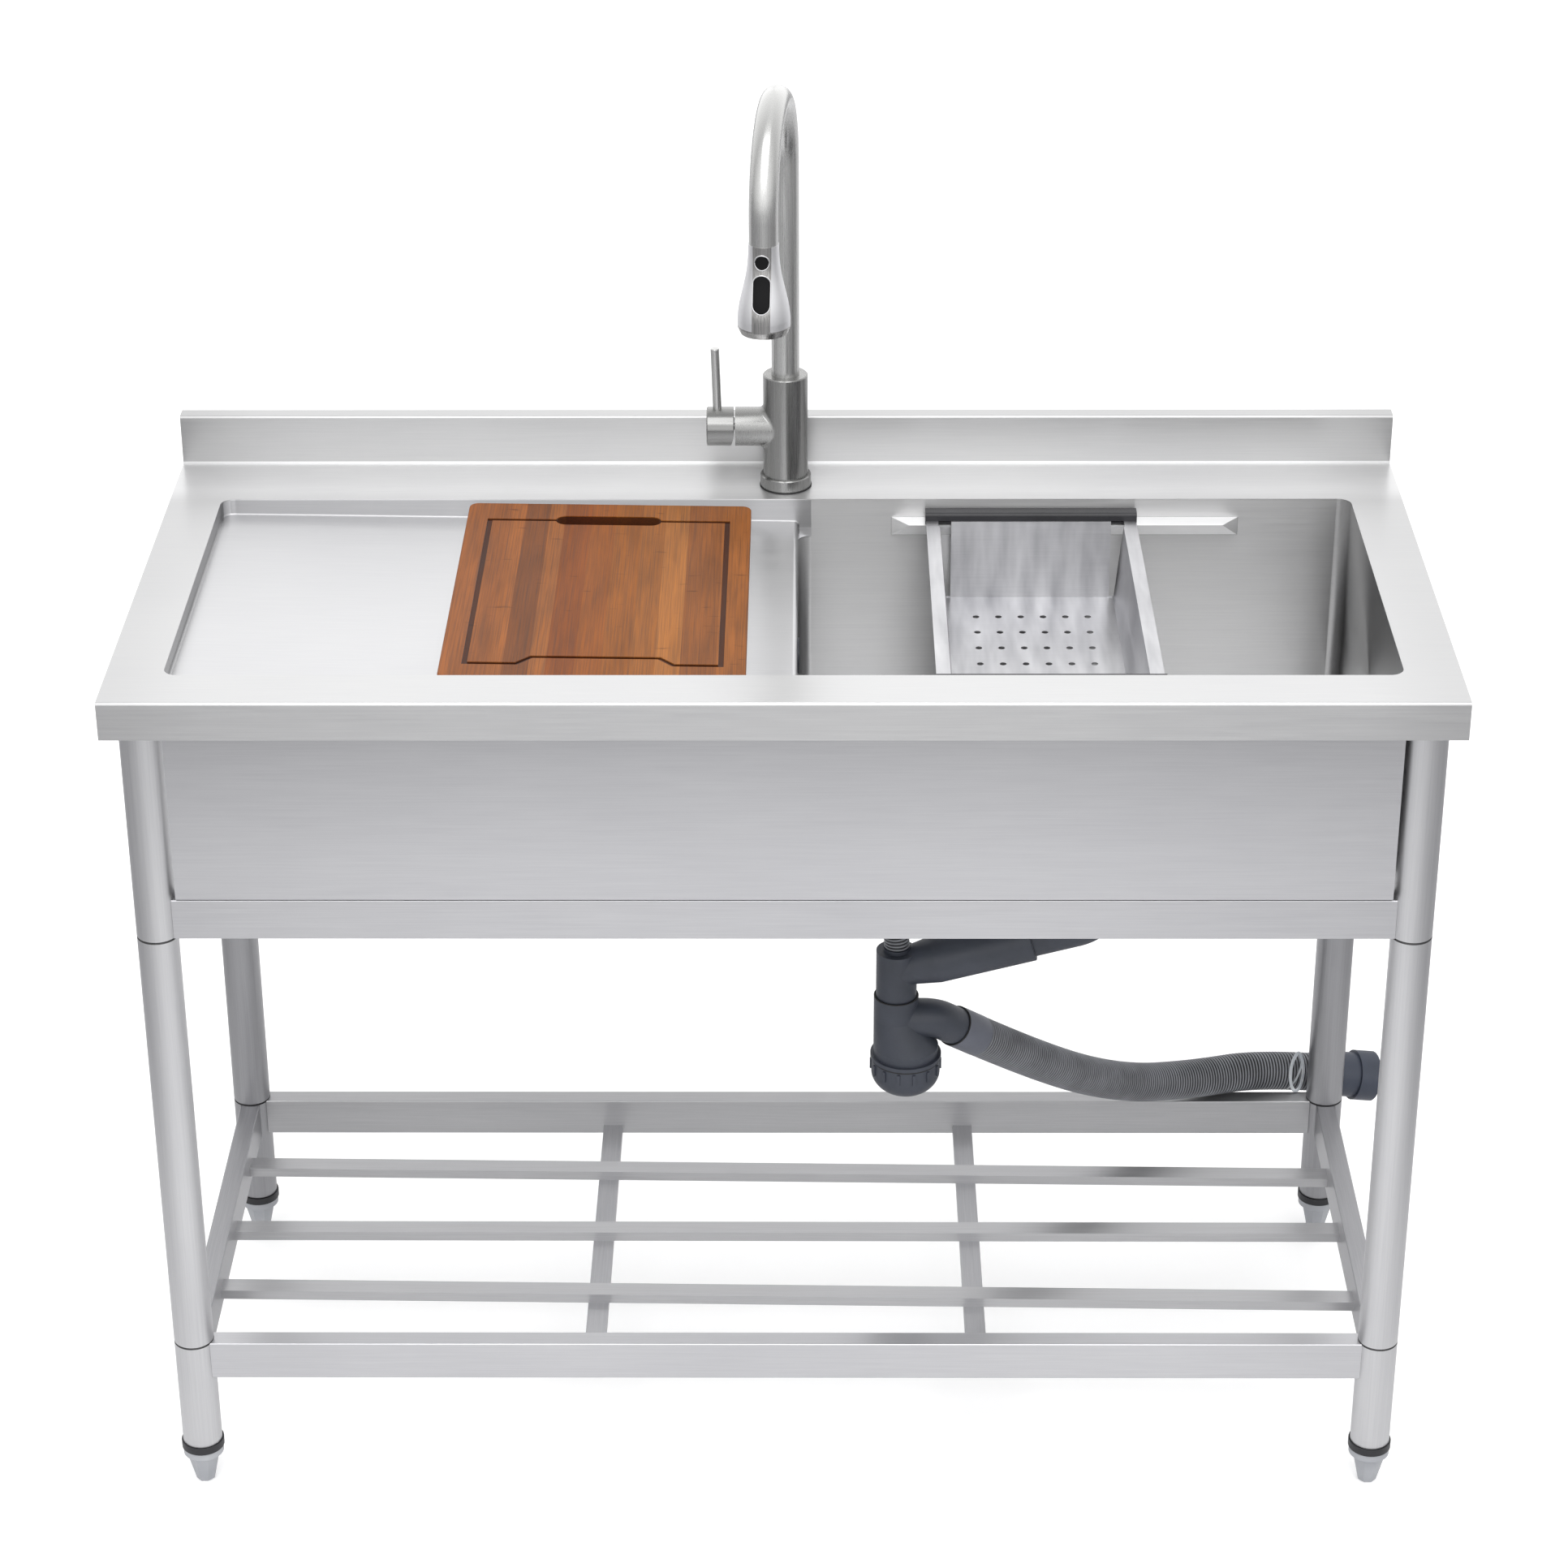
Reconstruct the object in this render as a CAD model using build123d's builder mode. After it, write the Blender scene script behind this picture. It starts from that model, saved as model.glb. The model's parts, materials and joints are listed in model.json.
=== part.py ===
from build123d import *
import math
import os

os.makedirs("parts", exist_ok=True)

# Worktop: a folded sheet with lips, a backsplash and one long opening
worktop_width = 1200.0
worktop_depth = 558.0
deck_height = 870.0
sheet = 1.0
lip_height = 36.5
fold_radius = 3.0
splash_height = 50.5
splash_thickness = 19.0
opening_margin_side = 50.5
opening_margin_front = 56.0
opening_margin_back = 109.0
corner_radius = 13.0
weld_flange = 11.0

# Basin: a sloping drainboard and a deep bowl share the opening
bowl_width = 537.5
bowl_depth = 205.0
bowl_floor_radius = 14.0
drainboard_depth_left = 16.0
drainboard_depth_right = 24.0
drainboard_fold = 2.0
nose_radius = 4.0
nose_drop = 16.0
ledge_drop = 19.0
ledge_reach = 18.5
ledge_height = 19.0
ledge_fall = 1.0
ledge_end_slope = 17.0
ledge_from_bowl_left = 91.0
ledge_from_bowl_right = 108.0

# Stand: legs in three lengths, apron, rails and shelf
leg_radius = 19.0
leg_wall = 1.2
leg_inset_side = 29.0
leg_set_back_front = 42.0
leg_set_in_rear = 78.5
head_seam_drop = 255.0
shelf_height = 166.0
leg_end_height = 48.0
seam_chamfer = 0.5
spigot_length = 60.0
spigot_wall = 1.5
slip_clearance = 0.1
weld_gap = 0.1
rail_height = 40.0
rail_thickness = 20.0
rail_wall = 1.2
rail_edge = 1.2
apron_gap = 2.0
apron_proud = 2.0
apron_return = 12.0
slat_width = 20.0
slat_height = 10.0
slat_wall = 1.0
slat_set_backs = ((380.0, 361.0), (262.5, 260.5), (159.5, 140.5))
bearer_offset = 186.0

# Feet: a threaded plug in the leg end and a screw-in bullet foot
insert_radius = 20.6
insert_flange = 7.5
insert_depth = 27.0
stud_radius = 6.0
stud_length = 44.0
running_clearance = 0.05
foot_flange_radius = 19.5
foot_flange = 8.5
foot_facets = 8
foot_facet_radius = 16.5
foot_taper = 12.0
foot_edge = 1.0

# Cutting board
board_width = 274.0
board_end_gap = 2.5
board_thickness = 17.0
board_from_bowl = 45.5
board_corner = 9.0
board_edge = 2.0
board_rest_gap = 0.2
groove_width = 5.0
groove_depth = 2.5
groove_inset_side = 20.0
groove_inset_back = 38.0
groove_inset_front = 26.0
groove_step = 14.0
groove_step_from_left = 50.0
groove_step_from_right = 46.0
groove_step_run = 13.0
handle_length = 102.0
handle_width = 21.0
handle_depth = 10.0

# Colander
colander_from_bowl_left = 226.5
basket_width = 165.0
basket_depth = 78.0
basket_taper = 5.5
basket_top_drop = 15.0
basket_flange = 12.0
basket_notch = 9.0
drip_hole_radius = 3.2
drip_columns = 6
drip_rows = 8
drip_pitch_x = 21.6
drip_pitch_y = 35.0
grip_length = 205.0
grip_depth = 16.5
grip_end_gap = 3.4
grip_flange = 12.4
grip_height = 12.0
grip_radius = 3.5

# Tap: body, valve, spout and spray head
tap_set_in_rear = 73.0
tap_hole_radius = 17.5
tap_base_radius = 24.8
tap_base_height = 11.5
tap_gasket = 1.5
tap_gasket_proud = 0.7
tap_body_radius = 21.8
tap_body_height = 103.5
tap_edge = 1.0
shank_radius = 16.5
shank_length = 55.0
tap_bore_radius = 9.0
tap_nut_radius = 27.0
tap_nut_height = 9.0
tap_nut_sides = 6
lever_rise = 61.7
housing_radius = 19.0
housing_reach = 49.0
housing_blend = 5.0
cartridge_radius = 14.8
cartridge_length = 30.0
cartridge_inset = 2.0
stem_radius = 6.0
stem_depth = 23.0
stem_neck_radius = 3.5
ball_radius = 6.5
ball_set_out = 9.0
cap_gap = 1.6
cap_length = 26.1
cap_mouth_radius = 6.0
cap_relief_start = 6.0
cap_relief_angle = 14.0
rod_radius = 4.3
rod_set_out = 17.2
rod_top_rise = 80.9
rod_seat_depth = 6.0
rod_lean = 1.6
spout_radius = 13.5
spout_bore_radius = 11.5
spout_insert = 40.0
spout_arch_radius = 82.5
spout_tail = 23.0
spout_end_rise = 307.0
spout_turn = 6.4
spray_hose_radius = 6.0
spray_hose_below = 30.0
spray_hose_stub = 80.0
head_length = 85.0
head_top_radius = 14.0
head_spigot_length = 7.0
head_bore_end = 2.0
head_mid_radius = 17.0
head_mid_drop = 32.0
head_wide_radius = 24.4
head_wide_drop = 71.0
head_rim_drop = 79.0
head_flare_end = 0.06
head_face_radius = 21.8
nozzle_radius = 18.5
nozzle_pocket = 4.0
nub_radius = 1.1
nub_height = 1.6
nub_rings = ((5.5, 6), (10.5, 12), (15.5, 18))
stream_button_radius = 5.9
stream_button_drop = 14.0
pause_button_length = 33.0
pause_button_width = 14.8
pause_button_drop = 43.0
button_proud = 0.9
button_travel = 1.2
button_clearance = 0.3
button_seat_radius = 7.0

# Drain: strainer in the bowl floor, arm, bottle trap and overflow
drain_from_bowl_left = 300.0
drain_hole_radius = 45.0
flange_radius = 56.5
flange_thickness = 1.5
skirt_radius = 44.3
skirt_wall = 1.8
skirt_length = 20.0
seat_radius = 36.0
drain_gasket = 3.0
cup_flange_radius = 55.0
cup_flange = 5.0
cup_radius = 50.0
cup_depth = 46.0
cup_cone = 14.0
cup_wall = 3.0
cup_spigot_radius = 19.9
cup_spigot_length = 36.0
basket_cup_radius = 40.5
basket_cup_wall = 1.5
knob_post_radius = 3.5
knob_radius = 9.0
knob_height = 6.0
cup_hole_radius = 2.5
cup_hole_rings = ((14.0, 6), (23.0, 12), (32.0, 18))
pipe_radius = 20.0
pipe_wall = 3.0
tail_radius = 19.5
tail_wall = 2.0
tail_insert = 30.0
branch_radius = 17.0
branch_length = 40.0
sleeve_radius = 23.5
sleeve_length = 136.0
sleeve_edge = 1.0
socket_radius = 24.5
socket_length = 40.0
elbow_radius = 40.0
arm_run = 203.5
arm_slope = 15.05
arm_inlet_drop = 413.7
inlet_top_drop = 393.0
inlet_bottom_drop = 486.0
inlet_collar = 4.0
neck_radius = 22.0
neck_drop = 444.0
neck_length = 24.0
shoulder_length = 32.0
bottle_radius = 32.0
bottle_length = 9.0
bottle_wall = 2.5
bottle_flange_radius = 35.0
bottle_flange = 4.0
bottle_thread_radius = 30.0
bottle_thread = 10.0
trap_seal = 2.0
trap_cap_radius = 34.0
trap_cap_skirt = 14.0
trap_cap_dome = 25.0
trap_cap_wall = 2.5
trap_rib_count = 14
trap_rib_width = 3.0
trap_rib_proud = 1.4
trap_rib_inset = 1.5
outlet_radius = 19.0
outlet_bore_radius = 15.0
outlet_drop = 469.5
outlet_run = 38.5
outlet_tail = 32.0
outlet_bend = 26.0
outlet_heading = (0.62, 0.50, -0.605)
outlet_spigot_radius = 16.9
outlet_spigot_length = 16.0
overflow_drop = 75.0
overflow_hole_radius = 12.0
overflow_slots = 3
overflow_slot_length = 15.6
overflow_slot_width = 3.0
overflow_slot_pitch = 6.0
overflow_rim_radius = 17.0
overflow_rim = 1.5
overflow_collar_radius = 20.0
overflow_collar = 3.0
overflow_body_radius = 13.0
overflow_body_reach = 28.0
overflow_spout_drop = 20.0
overflow_spout_gap = 1.0
overflow_spigot_radius = 8.0
overflow_spigot_length = 14.0

# Ribbed hoses: crest, valley and bore radii and the spacing of the ribs
waste_crest_radius = 20.4
waste_valley_radius = 18.7
waste_bore_radius = 17.0
waste_rib_pitch = 3.4
waste_cuff_radius = 20.6
waste_cuff_length = 38.0
waste_first_run = 153.0
waste_points = ((352.0, 149.0, 214.0), (430.0, 199.0, 188.6), (505.0, 229.0, 184.0), (579.0, 245.5, 168.0))
overflow_crest_radius = 12.5
overflow_valley_radius = 11.0
overflow_bore_radius = 9.2
overflow_rib_pitch = 3.6
overflow_first_bend_drop = 236.0
overflow_second_bend_drop = 320.0
bend_share = 0.45
rib_crest_share = 0.45
rib_flank_share = 0.2
hose_end_radius = 24.0
hose_end_length = 30.0
hose_socket_radius = 26.8
hose_socket_length = 22.0
hose_socket_bore = 23.0
hose_spigot_length = 18.0
tie_length = 44.0
tie_width = 18.0
tie_band = 3.6
tie_thickness = 1.4
tie_along = 44.0
tie_tilt = 28.0
tie_clearance = 0.3

# Places that follow from the driving sizes
front_edge = -worktop_depth / 2
back_face = worktop_depth / 2
deck_under = deck_height - sheet
lip_bottom = deck_height - lip_height
splash_mid_y = back_face - splash_thickness / 2
opening_front = front_edge + opening_margin_front
opening_back = back_face - opening_margin_back
opening_width = worktop_width - 2 * opening_margin_side
opening_depth = opening_back - opening_front
opening_mid_y = (opening_front + opening_back) / 2
opening_left = -opening_width / 2
opening_right = opening_width / 2
bowl_left = opening_right - bowl_width
bowl_mid_x = (bowl_left + opening_right) / 2
bowl_floor = deck_height - bowl_depth
bowl_under = bowl_floor - sheet
nose_bottom = deck_height - drainboard_depth_right - nose_drop
drainboard_fall = (drainboard_depth_right - drainboard_depth_left) / (bowl_left - opening_left)
drainboard_end = bowl_left + corner_radius

leg_x = worktop_width / 2 - leg_inset_side
leg_front_y = front_edge + leg_set_back_front
leg_back_y = back_face - leg_set_in_rear
leg_bore = leg_radius - leg_wall
head_seam = deck_height - head_seam_drop
corners = {
    "front_left": (-leg_x, leg_front_y),
    "front_right": (leg_x, leg_front_y),
    "back_left": (-leg_x, leg_back_y),
    "back_right": (leg_x, leg_back_y),
}

tap_x = 0.0
tap_y = back_face - tap_set_in_rear
tap_base_bottom = deck_height + tap_gasket
tap_body_bottom = tap_base_bottom + tap_base_height
tap_body_top = tap_body_bottom + tap_body_height
lever_z = deck_height + lever_rise
spout_end = deck_height + spout_end_rise
arch_z = spout_end + spout_tail

drain_x = bowl_left + drain_from_bowl_left
trap_x = drain_x - arm_run
trap_y = opening_mid_y


def drainboard_plane(lower: float) -> Plane:
    """Plane of the sloping drainboard floor, moved down by lower."""
    start = (opening_left, 0, deck_height - drainboard_depth_left - lower)
    return Plane(start, x_dir=(1, 0, -drainboard_fall), z_dir=(drainboard_fall, 0, 1))


def pipe(x: float, y: float, bottom: float, top: float, outer: float, inner: float) -> Part:
    """Upright tube between two heights, its rims chamfered for the seam."""
    with BuildPart() as tube:
        with BuildSketch(Plane.XY.offset(bottom)):
            with Locations((x, y)):
                Circle(outer)
                Circle(inner, mode=Mode.SUBTRACT)
        extrude(amount=top - bottom)
        rims = tube.edges().filter_by(GeomType.CIRCLE).filter_by(lambda e: abs(e.radius - outer) < weld_gap)
        chamfer(rims, seam_chamfer)
    return tube.part


def rail(start: tuple, end: tuple, bottom: float) -> Part:
    """Rectangular tube between two leg axes, its ends coped to the legs."""
    along_x = abs(end[0] - start[0]) > abs(end[1] - start[1])
    length = math.dist(start, end)
    middle = ((start[0] + end[0]) / 2, (start[1] + end[1]) / 2, bottom + rail_height / 2)
    heading = (1, 0, 0) if along_x else (0, 1, 0)
    with BuildPart() as tube:
        with BuildSketch(Plane(middle, x_dir=(0, 0, 1), z_dir=heading)):
            RectangleRounded(rail_height, rail_thickness, rail_edge)
            RectangleRounded(rail_height - 2 * rail_wall, rail_thickness - 2 * rail_wall,
                             rail_edge / 2, mode=Mode.SUBTRACT)
        extrude(amount=length / 2, both=True)
        with BuildSketch(Plane.XY.offset(bottom)):
            with Locations(start, end):
                Circle(leg_radius + weld_gap)
        extrude(amount=rail_height, mode=Mode.SUBTRACT)
    return tube.part


# Worktop: deck, lips and hollow backsplash in one folded sheet
with BuildPart() as worktop:
    with BuildSketch(Plane.XY.offset(lip_bottom)):
        Rectangle(worktop_width, worktop_depth)
    extrude(amount=lip_height)
    with BuildSketch(Plane.XY.offset(deck_height)):
        with Locations((0, splash_mid_y)):
            Rectangle(worktop_width, splash_thickness)
    extrude(amount=splash_height)
    front_fold = worktop.edges().filter_by(Axis.X).group_by(Axis.Y)[0].sort_by(Axis.Z)[-1]
    fillet(front_fold, fold_radius)
    splash_folds = worktop.edges().filter_by(Axis.X).group_by(Axis.Z)[-1]
    fillet(splash_folds, fold_radius)
    with BuildSketch(Plane.XY.offset(lip_bottom)):
        Rectangle(worktop_width - 2 * sheet, worktop_depth - 2 * sheet)
    extrude(amount=lip_height - sheet, mode=Mode.SUBTRACT)
    with BuildSketch(Plane.XY.offset(deck_under)):
        with Locations((0, splash_mid_y)):
            Rectangle(worktop_width - 2 * sheet, splash_thickness - 2 * sheet)
    extrude(amount=splash_height, mode=Mode.SUBTRACT)
    with BuildSketch(Plane.XY.offset(deck_height)):
        with Locations((0, opening_mid_y)):
            RectangleRounded(opening_width, opening_depth, corner_radius)
        with Locations((tap_x, tap_y)):
            Circle(tap_hole_radius)
    extrude(amount=-2 * sheet, mode=Mode.SUBTRACT)
worktop.part.label = "worktop"
export_step(worktop.part, "parts/worktop.step")

# Drainboard: the space above its floor and the space under it are cut from a block
with BuildPart() as drainboard_recess:
    with BuildSketch(Plane.XY.offset(nose_bottom)):
        with Locations((0, opening_mid_y)):
            RectangleRounded(opening_width, opening_depth, corner_radius)
    extrude(amount=deck_height - nose_bottom)
    split(bisect_by=drainboard_plane(0), keep=Keep.TOP)

underside_left = opening_left - weld_flange
underside_right = bowl_left - sheet
with BuildPart() as drainboard_underside:
    with BuildSketch(Plane.XY.offset(nose_bottom)):
        with Locations(((underside_left + underside_right) / 2, opening_mid_y)):
            Rectangle(underside_right - underside_left, opening_depth + 2 * weld_flange)
    extrude(amount=deck_height - nose_bottom)
    split(bisect_by=drainboard_plane(sheet), keep=Keep.BOTTOM)
    under_nose = drainboard_underside.edges().filter_by(Axis.Y).group_by(Axis.X)[-1].sort_by(Axis.Z)[-1]
    fillet(under_nose, nose_radius - sheet)

with BuildPart() as drainboard:
    with BuildSketch(Plane.XY.offset(nose_bottom)):
        with Locations(((opening_left - sheet + drainboard_end) / 2, opening_mid_y)):
            Rectangle(drainboard_end - opening_left + sheet, opening_depth + 2 * sheet)
        with Locations((bowl_mid_x, opening_mid_y)):
            Rectangle(bowl_width, opening_depth, mode=Mode.SUBTRACT)
    extrude(amount=deck_under - nose_bottom)
    add(drainboard_recess.part, mode=Mode.SUBTRACT)
    nose_edges = drainboard.edges().filter_by(Axis.Y)
    nose_edges = nose_edges.filter_by(lambda e: abs(e.center().X - bowl_left) < weld_gap)
    fillet(nose_edges.sort_by(Axis.Z)[-1], nose_radius)
    fold_edges = drainboard.edges().filter_by(Axis.Y)
    fold_edges = fold_edges.filter_by(lambda e: abs(e.center().X - opening_left) < weld_gap)
    fillet(fold_edges.sort_by(Axis.Z)[0], drainboard_fold)
    add(drainboard_underside.part, mode=Mode.SUBTRACT)
    with BuildSketch(Plane.XY.offset(deck_under)):
        for side in (opening_front - weld_flange / 2, opening_back + weld_flange / 2):
            with Locations(((opening_left + bowl_left) / 2, side)):
                Rectangle(bowl_left - opening_left - 2 * corner_radius, weld_flange)
    extrude(amount=-sheet)
    with BuildSketch(Plane.XY.offset(nose_bottom)):
        with Locations((bowl_left + corner_radius / 2, opening_mid_y)):
            Rectangle(corner_radius, opening_depth)
        with Locations((bowl_mid_x, opening_mid_y)):
            RectangleRounded(bowl_width, opening_depth, corner_radius, mode=Mode.SUBTRACT)
    extrude(amount=sheet)
drainboard.part.label = "drainboard"
export_step(drainboard.part, "parts/drainboard.step")


def ledge(wall_y: float, inward: int, skin: float) -> Part:
    """Pressed ledge along a bowl wall: flat top, sloping underside and slanted ends.

    The skin moves every face inside the metal, which gives the hollow behind the ledge.
    """
    top = deck_height - ledge_drop - skin
    reach = ledge_reach - 2 * skin
    bottom = deck_height - ledge_drop - ledge_height + 2 * skin
    left = bowl_left + ledge_from_bowl_left + skin
    right = opening_right - ledge_from_bowl_right - skin
    root = wall_y - inward * (sheet + skin)
    nose = wall_y + inward * reach
    with BuildPart() as ridge:
        with BuildSketch(Plane((left, 0, 0), x_dir=(0, 1, 0), z_dir=(1, 0, 0))):
            Polygon((root, top), (wall_y, top), (nose, top - ledge_fall), (wall_y, bottom), (root, bottom),
                    align=None)
        extrude(amount=right - left)
        for end, sign in ((left, 1), (right, -1)):
            slant = Plane((end, wall_y, 0), x_dir=(0, 0, 1),
                          z_dir=(sign * reach, -inward * ledge_end_slope, 0))
            split(bisect_by=slant, keep=Keep.TOP)
    return ridge.part


# Bowl: walls, rounded floor, pressed ledges, drain and overflow holes
floor_bend = min(bowl_floor_radius, corner_radius - sheet)
overflow_z = deck_height - overflow_drop
overflow_plane = Plane((bowl_left, trap_y, overflow_z), x_dir=(0, 1, 0), z_dir=(-1, 0, 0))
with BuildPart() as bowl_space:
    with BuildSketch(Plane.XY.offset(bowl_floor)):
        with Locations((bowl_mid_x, opening_mid_y)):
            RectangleRounded(bowl_width, opening_depth, corner_radius)
    extrude(amount=bowl_depth)
    fillet(bowl_space.faces().sort_by(Axis.Z)[0].edges(), floor_bend)

with BuildPart() as sink_bowl:
    with BuildSketch(Plane.XY.offset(bowl_under)):
        with Locations((bowl_mid_x, opening_mid_y)):
            RectangleRounded(bowl_width + 2 * sheet, opening_depth + 2 * sheet, corner_radius + sheet)
    extrude(amount=deck_under - bowl_under)
    fillet(sink_bowl.faces().sort_by(Axis.Z)[0].edges(), floor_bend + sheet)
    with BuildSketch(Plane.XY.offset(deck_under)):
        for side in (opening_front - weld_flange / 2, opening_back + weld_flange / 2):
            with Locations((bowl_mid_x, side)):
                Rectangle(bowl_width - 2 * corner_radius, weld_flange)
    extrude(amount=-sheet)
    add(bowl_space.part, mode=Mode.SUBTRACT)
    with BuildSketch(Plane.XY.offset(nose_bottom)):
        with Locations((drainboard_end - corner_radius, opening_mid_y)):
            Rectangle(2 * corner_radius, opening_depth + 2 * (weld_flange + corner_radius))
    extrude(amount=deck_height - nose_bottom, mode=Mode.SUBTRACT)
    add(ledge(opening_back, -1, 0))
    add(ledge(opening_front, 1, 0))
    add(ledge(opening_back, -1, sheet), mode=Mode.SUBTRACT)
    add(ledge(opening_front, 1, sheet), mode=Mode.SUBTRACT)
    with BuildSketch(Plane.XY.offset(bowl_floor)):
        with Locations((drain_x, opening_mid_y)):
            Circle(drain_hole_radius)
    extrude(amount=-2 * sheet, mode=Mode.SUBTRACT)
    with BuildSketch(overflow_plane):
        Circle(overflow_hole_radius)
    extrude(amount=2 * sheet, mode=Mode.SUBTRACT)
sink_bowl.part.label = "sink_bowl"
export_step(sink_bowl.part, "parts/sink_bowl.step")

# Front apron: a panel under the front lip with a return along its lower edge
apron_y = leg_front_y - rail_thickness / 2 - apron_proud
apron_bottom = head_seam + rail_height + apron_gap
apron_half = leg_x - leg_radius - apron_gap
with BuildPart() as front_apron:
    with BuildSketch(Plane((-apron_half, 0, 0), x_dir=(0, 1, 0), z_dir=(1, 0, 0))):
        with BuildLine():
            Polyline((apron_y, deck_under), (apron_y, apron_bottom),
                     (apron_y + apron_return, apron_bottom),
                     (apron_y + apron_return, apron_bottom + sheet),
                     (apron_y + sheet, apron_bottom + sheet), (apron_y + sheet, deck_under), close=True)
        make_face()
    extrude(amount=2 * apron_half)
front_apron.part.label = "front_apron"
export_step(front_apron.part, "parts/front_apron.step")

# Legs: head, middle tube and base at each corner
for corner, (x, y) in corners.items():
    leg_lengths = {
        "leg_head": (head_seam, deck_under),
        "leg_tube": (shelf_height, head_seam),
        "leg_base": (leg_end_height, shelf_height),
    }
    for length_name, (bottom, top) in leg_lengths.items():
        leg_length = pipe(x, y, bottom, top, leg_radius, leg_bore)
        leg_length.label = f"{length_name}_{corner}"
        export_step(leg_length, f"parts/{length_name}_{corner}.step")

# Spigots inside the legs at both seams
spigot_radius = leg_bore - slip_clearance
with BuildPart() as leg_spigots:
    for seam in (shelf_height, head_seam):
        with BuildSketch(Plane.XY.offset(seam - spigot_length / 2)):
            with Locations(*corners.values()):
                Circle(spigot_radius)
                Circle(spigot_radius - spigot_wall, mode=Mode.SUBTRACT)
        extrude(amount=spigot_length)
leg_spigots.part.label = "leg_spigots"
export_step(leg_spigots.part, "parts/leg_spigots.step")

# Black threaded plugs in the leg ends
insert_bottom = leg_end_height - insert_flange
with BuildPart() as leg_inserts:
    with BuildSketch(Plane.XY.offset(insert_bottom)):
        with Locations(*corners.values()):
            Circle(insert_radius)
    extrude(amount=insert_flange)
    with BuildSketch(Plane.XY.offset(leg_end_height)):
        with Locations(*corners.values()):
            Circle(spigot_radius)
    extrude(amount=insert_depth)
    with BuildSketch(Plane.XY.offset(insert_bottom)):
        with Locations(*corners.values()):
            Circle(stud_radius + running_clearance)
    extrude(amount=insert_flange + insert_depth, mode=Mode.SUBTRACT)
leg_inserts.part.label = "leg_inserts"
export_step(leg_inserts.part, "parts/leg_inserts.step")

# Bullet feet: stud, flange and a tapering eight-sided end
foot_flange_bottom = insert_bottom - foot_flange
for corner, (x, y) in corners.items():
    with BuildPart() as foot:
        with BuildSketch(Plane.XY.offset(foot_flange_bottom)):
            with Locations((x, y)):
                Circle(foot_flange_radius)
        extrude(amount=foot_flange)
        chamfer(foot.faces().sort_by(Axis.Z)[0].edges(), foot_edge)
        with BuildSketch(Plane.XY.offset(insert_bottom)):
            with Locations((x, y)):
                Circle(stud_radius)
        extrude(amount=stud_length)
        with BuildSketch(Plane((x, y, foot_flange_bottom), x_dir=(1, 0, 0), z_dir=(0, 0, -1))):
            RegularPolygon(foot_facet_radius, foot_facets, rotation=180 / foot_facets)
        extrude(amount=foot_flange_bottom, taper=foot_taper)
        chamfer(foot.faces().sort_by(Axis.Z)[0].edges(), foot_edge)
    foot.part.label = f"foot_{corner}"
    export_step(foot.part, f"parts/foot_{corner}.step")

# Rails of the apron and of the shelf run between the leg axes
rail_runs = {
    "front": (corners["front_left"], corners["front_right"]),
    "back": (corners["back_left"], corners["back_right"]),
    "left": (corners["front_left"], corners["back_left"]),
    "right": (corners["front_right"], corners["back_right"]),
}
for level, level_bottom in (("apron_rail", head_seam), ("shelf_rail", shelf_height - rail_height)):
    for side, (start, end) in rail_runs.items():
        side_rail = rail(start, end, level_bottom)
        side_rail.label = f"{level}_{side}"
        export_step(side_rail, f"parts/{level}_{side}.step")

# Shelf bearers run front to back, and the slats lie across them between the side rails
bearer_bottom = shelf_height - rail_height
slat_bottom = bearer_bottom + slat_height
bearer_middle = bearer_bottom + slat_height / 2
bearer_start = leg_front_y + rail_thickness / 2
bearer_end = leg_back_y - rail_thickness / 2
with BuildPart() as shelf_bearers:
    with BuildSketch(Plane((0, bearer_start, bearer_middle), x_dir=(1, 0, 0), z_dir=(0, 1, 0))):
        with Locations((-bearer_offset, 0), (bearer_offset, 0)):
            Rectangle(slat_width, slat_height)
            Rectangle(slat_width - 2 * slat_wall, slat_height - 2 * slat_wall, mode=Mode.SUBTRACT)
    extrude(amount=bearer_end - bearer_start)
shelf_bearers.part.label = "shelf_bearers"
export_step(shelf_bearers.part, "parts/shelf_bearers.step")

slat_end = leg_x - rail_thickness / 2
slat_top = slat_bottom + slat_height
with BuildPart() as shelf_slats:
    for width, bottom, top, mode in (
        (slat_width, slat_bottom, slat_top, Mode.ADD),
        (slat_width - 2 * slat_wall, slat_bottom + slat_wall, slat_top - slat_wall, Mode.SUBTRACT),
    ):
        for left_set_back, right_set_back in slat_set_backs:
            left_y = front_edge + left_set_back
            right_y = front_edge + right_set_back
            with BuildSketch(Plane.XY.offset(bottom)):
                Polygon((-slat_end, left_y - width / 2), (slat_end, right_y - width / 2),
                        (slat_end, right_y + width / 2), (-slat_end, left_y + width / 2), align=None)
            extrude(amount=top - bottom, mode=mode)
shelf_slats.part.label = "shelf_slats"
export_step(shelf_slats.part, "parts/shelf_slats.step")

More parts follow.
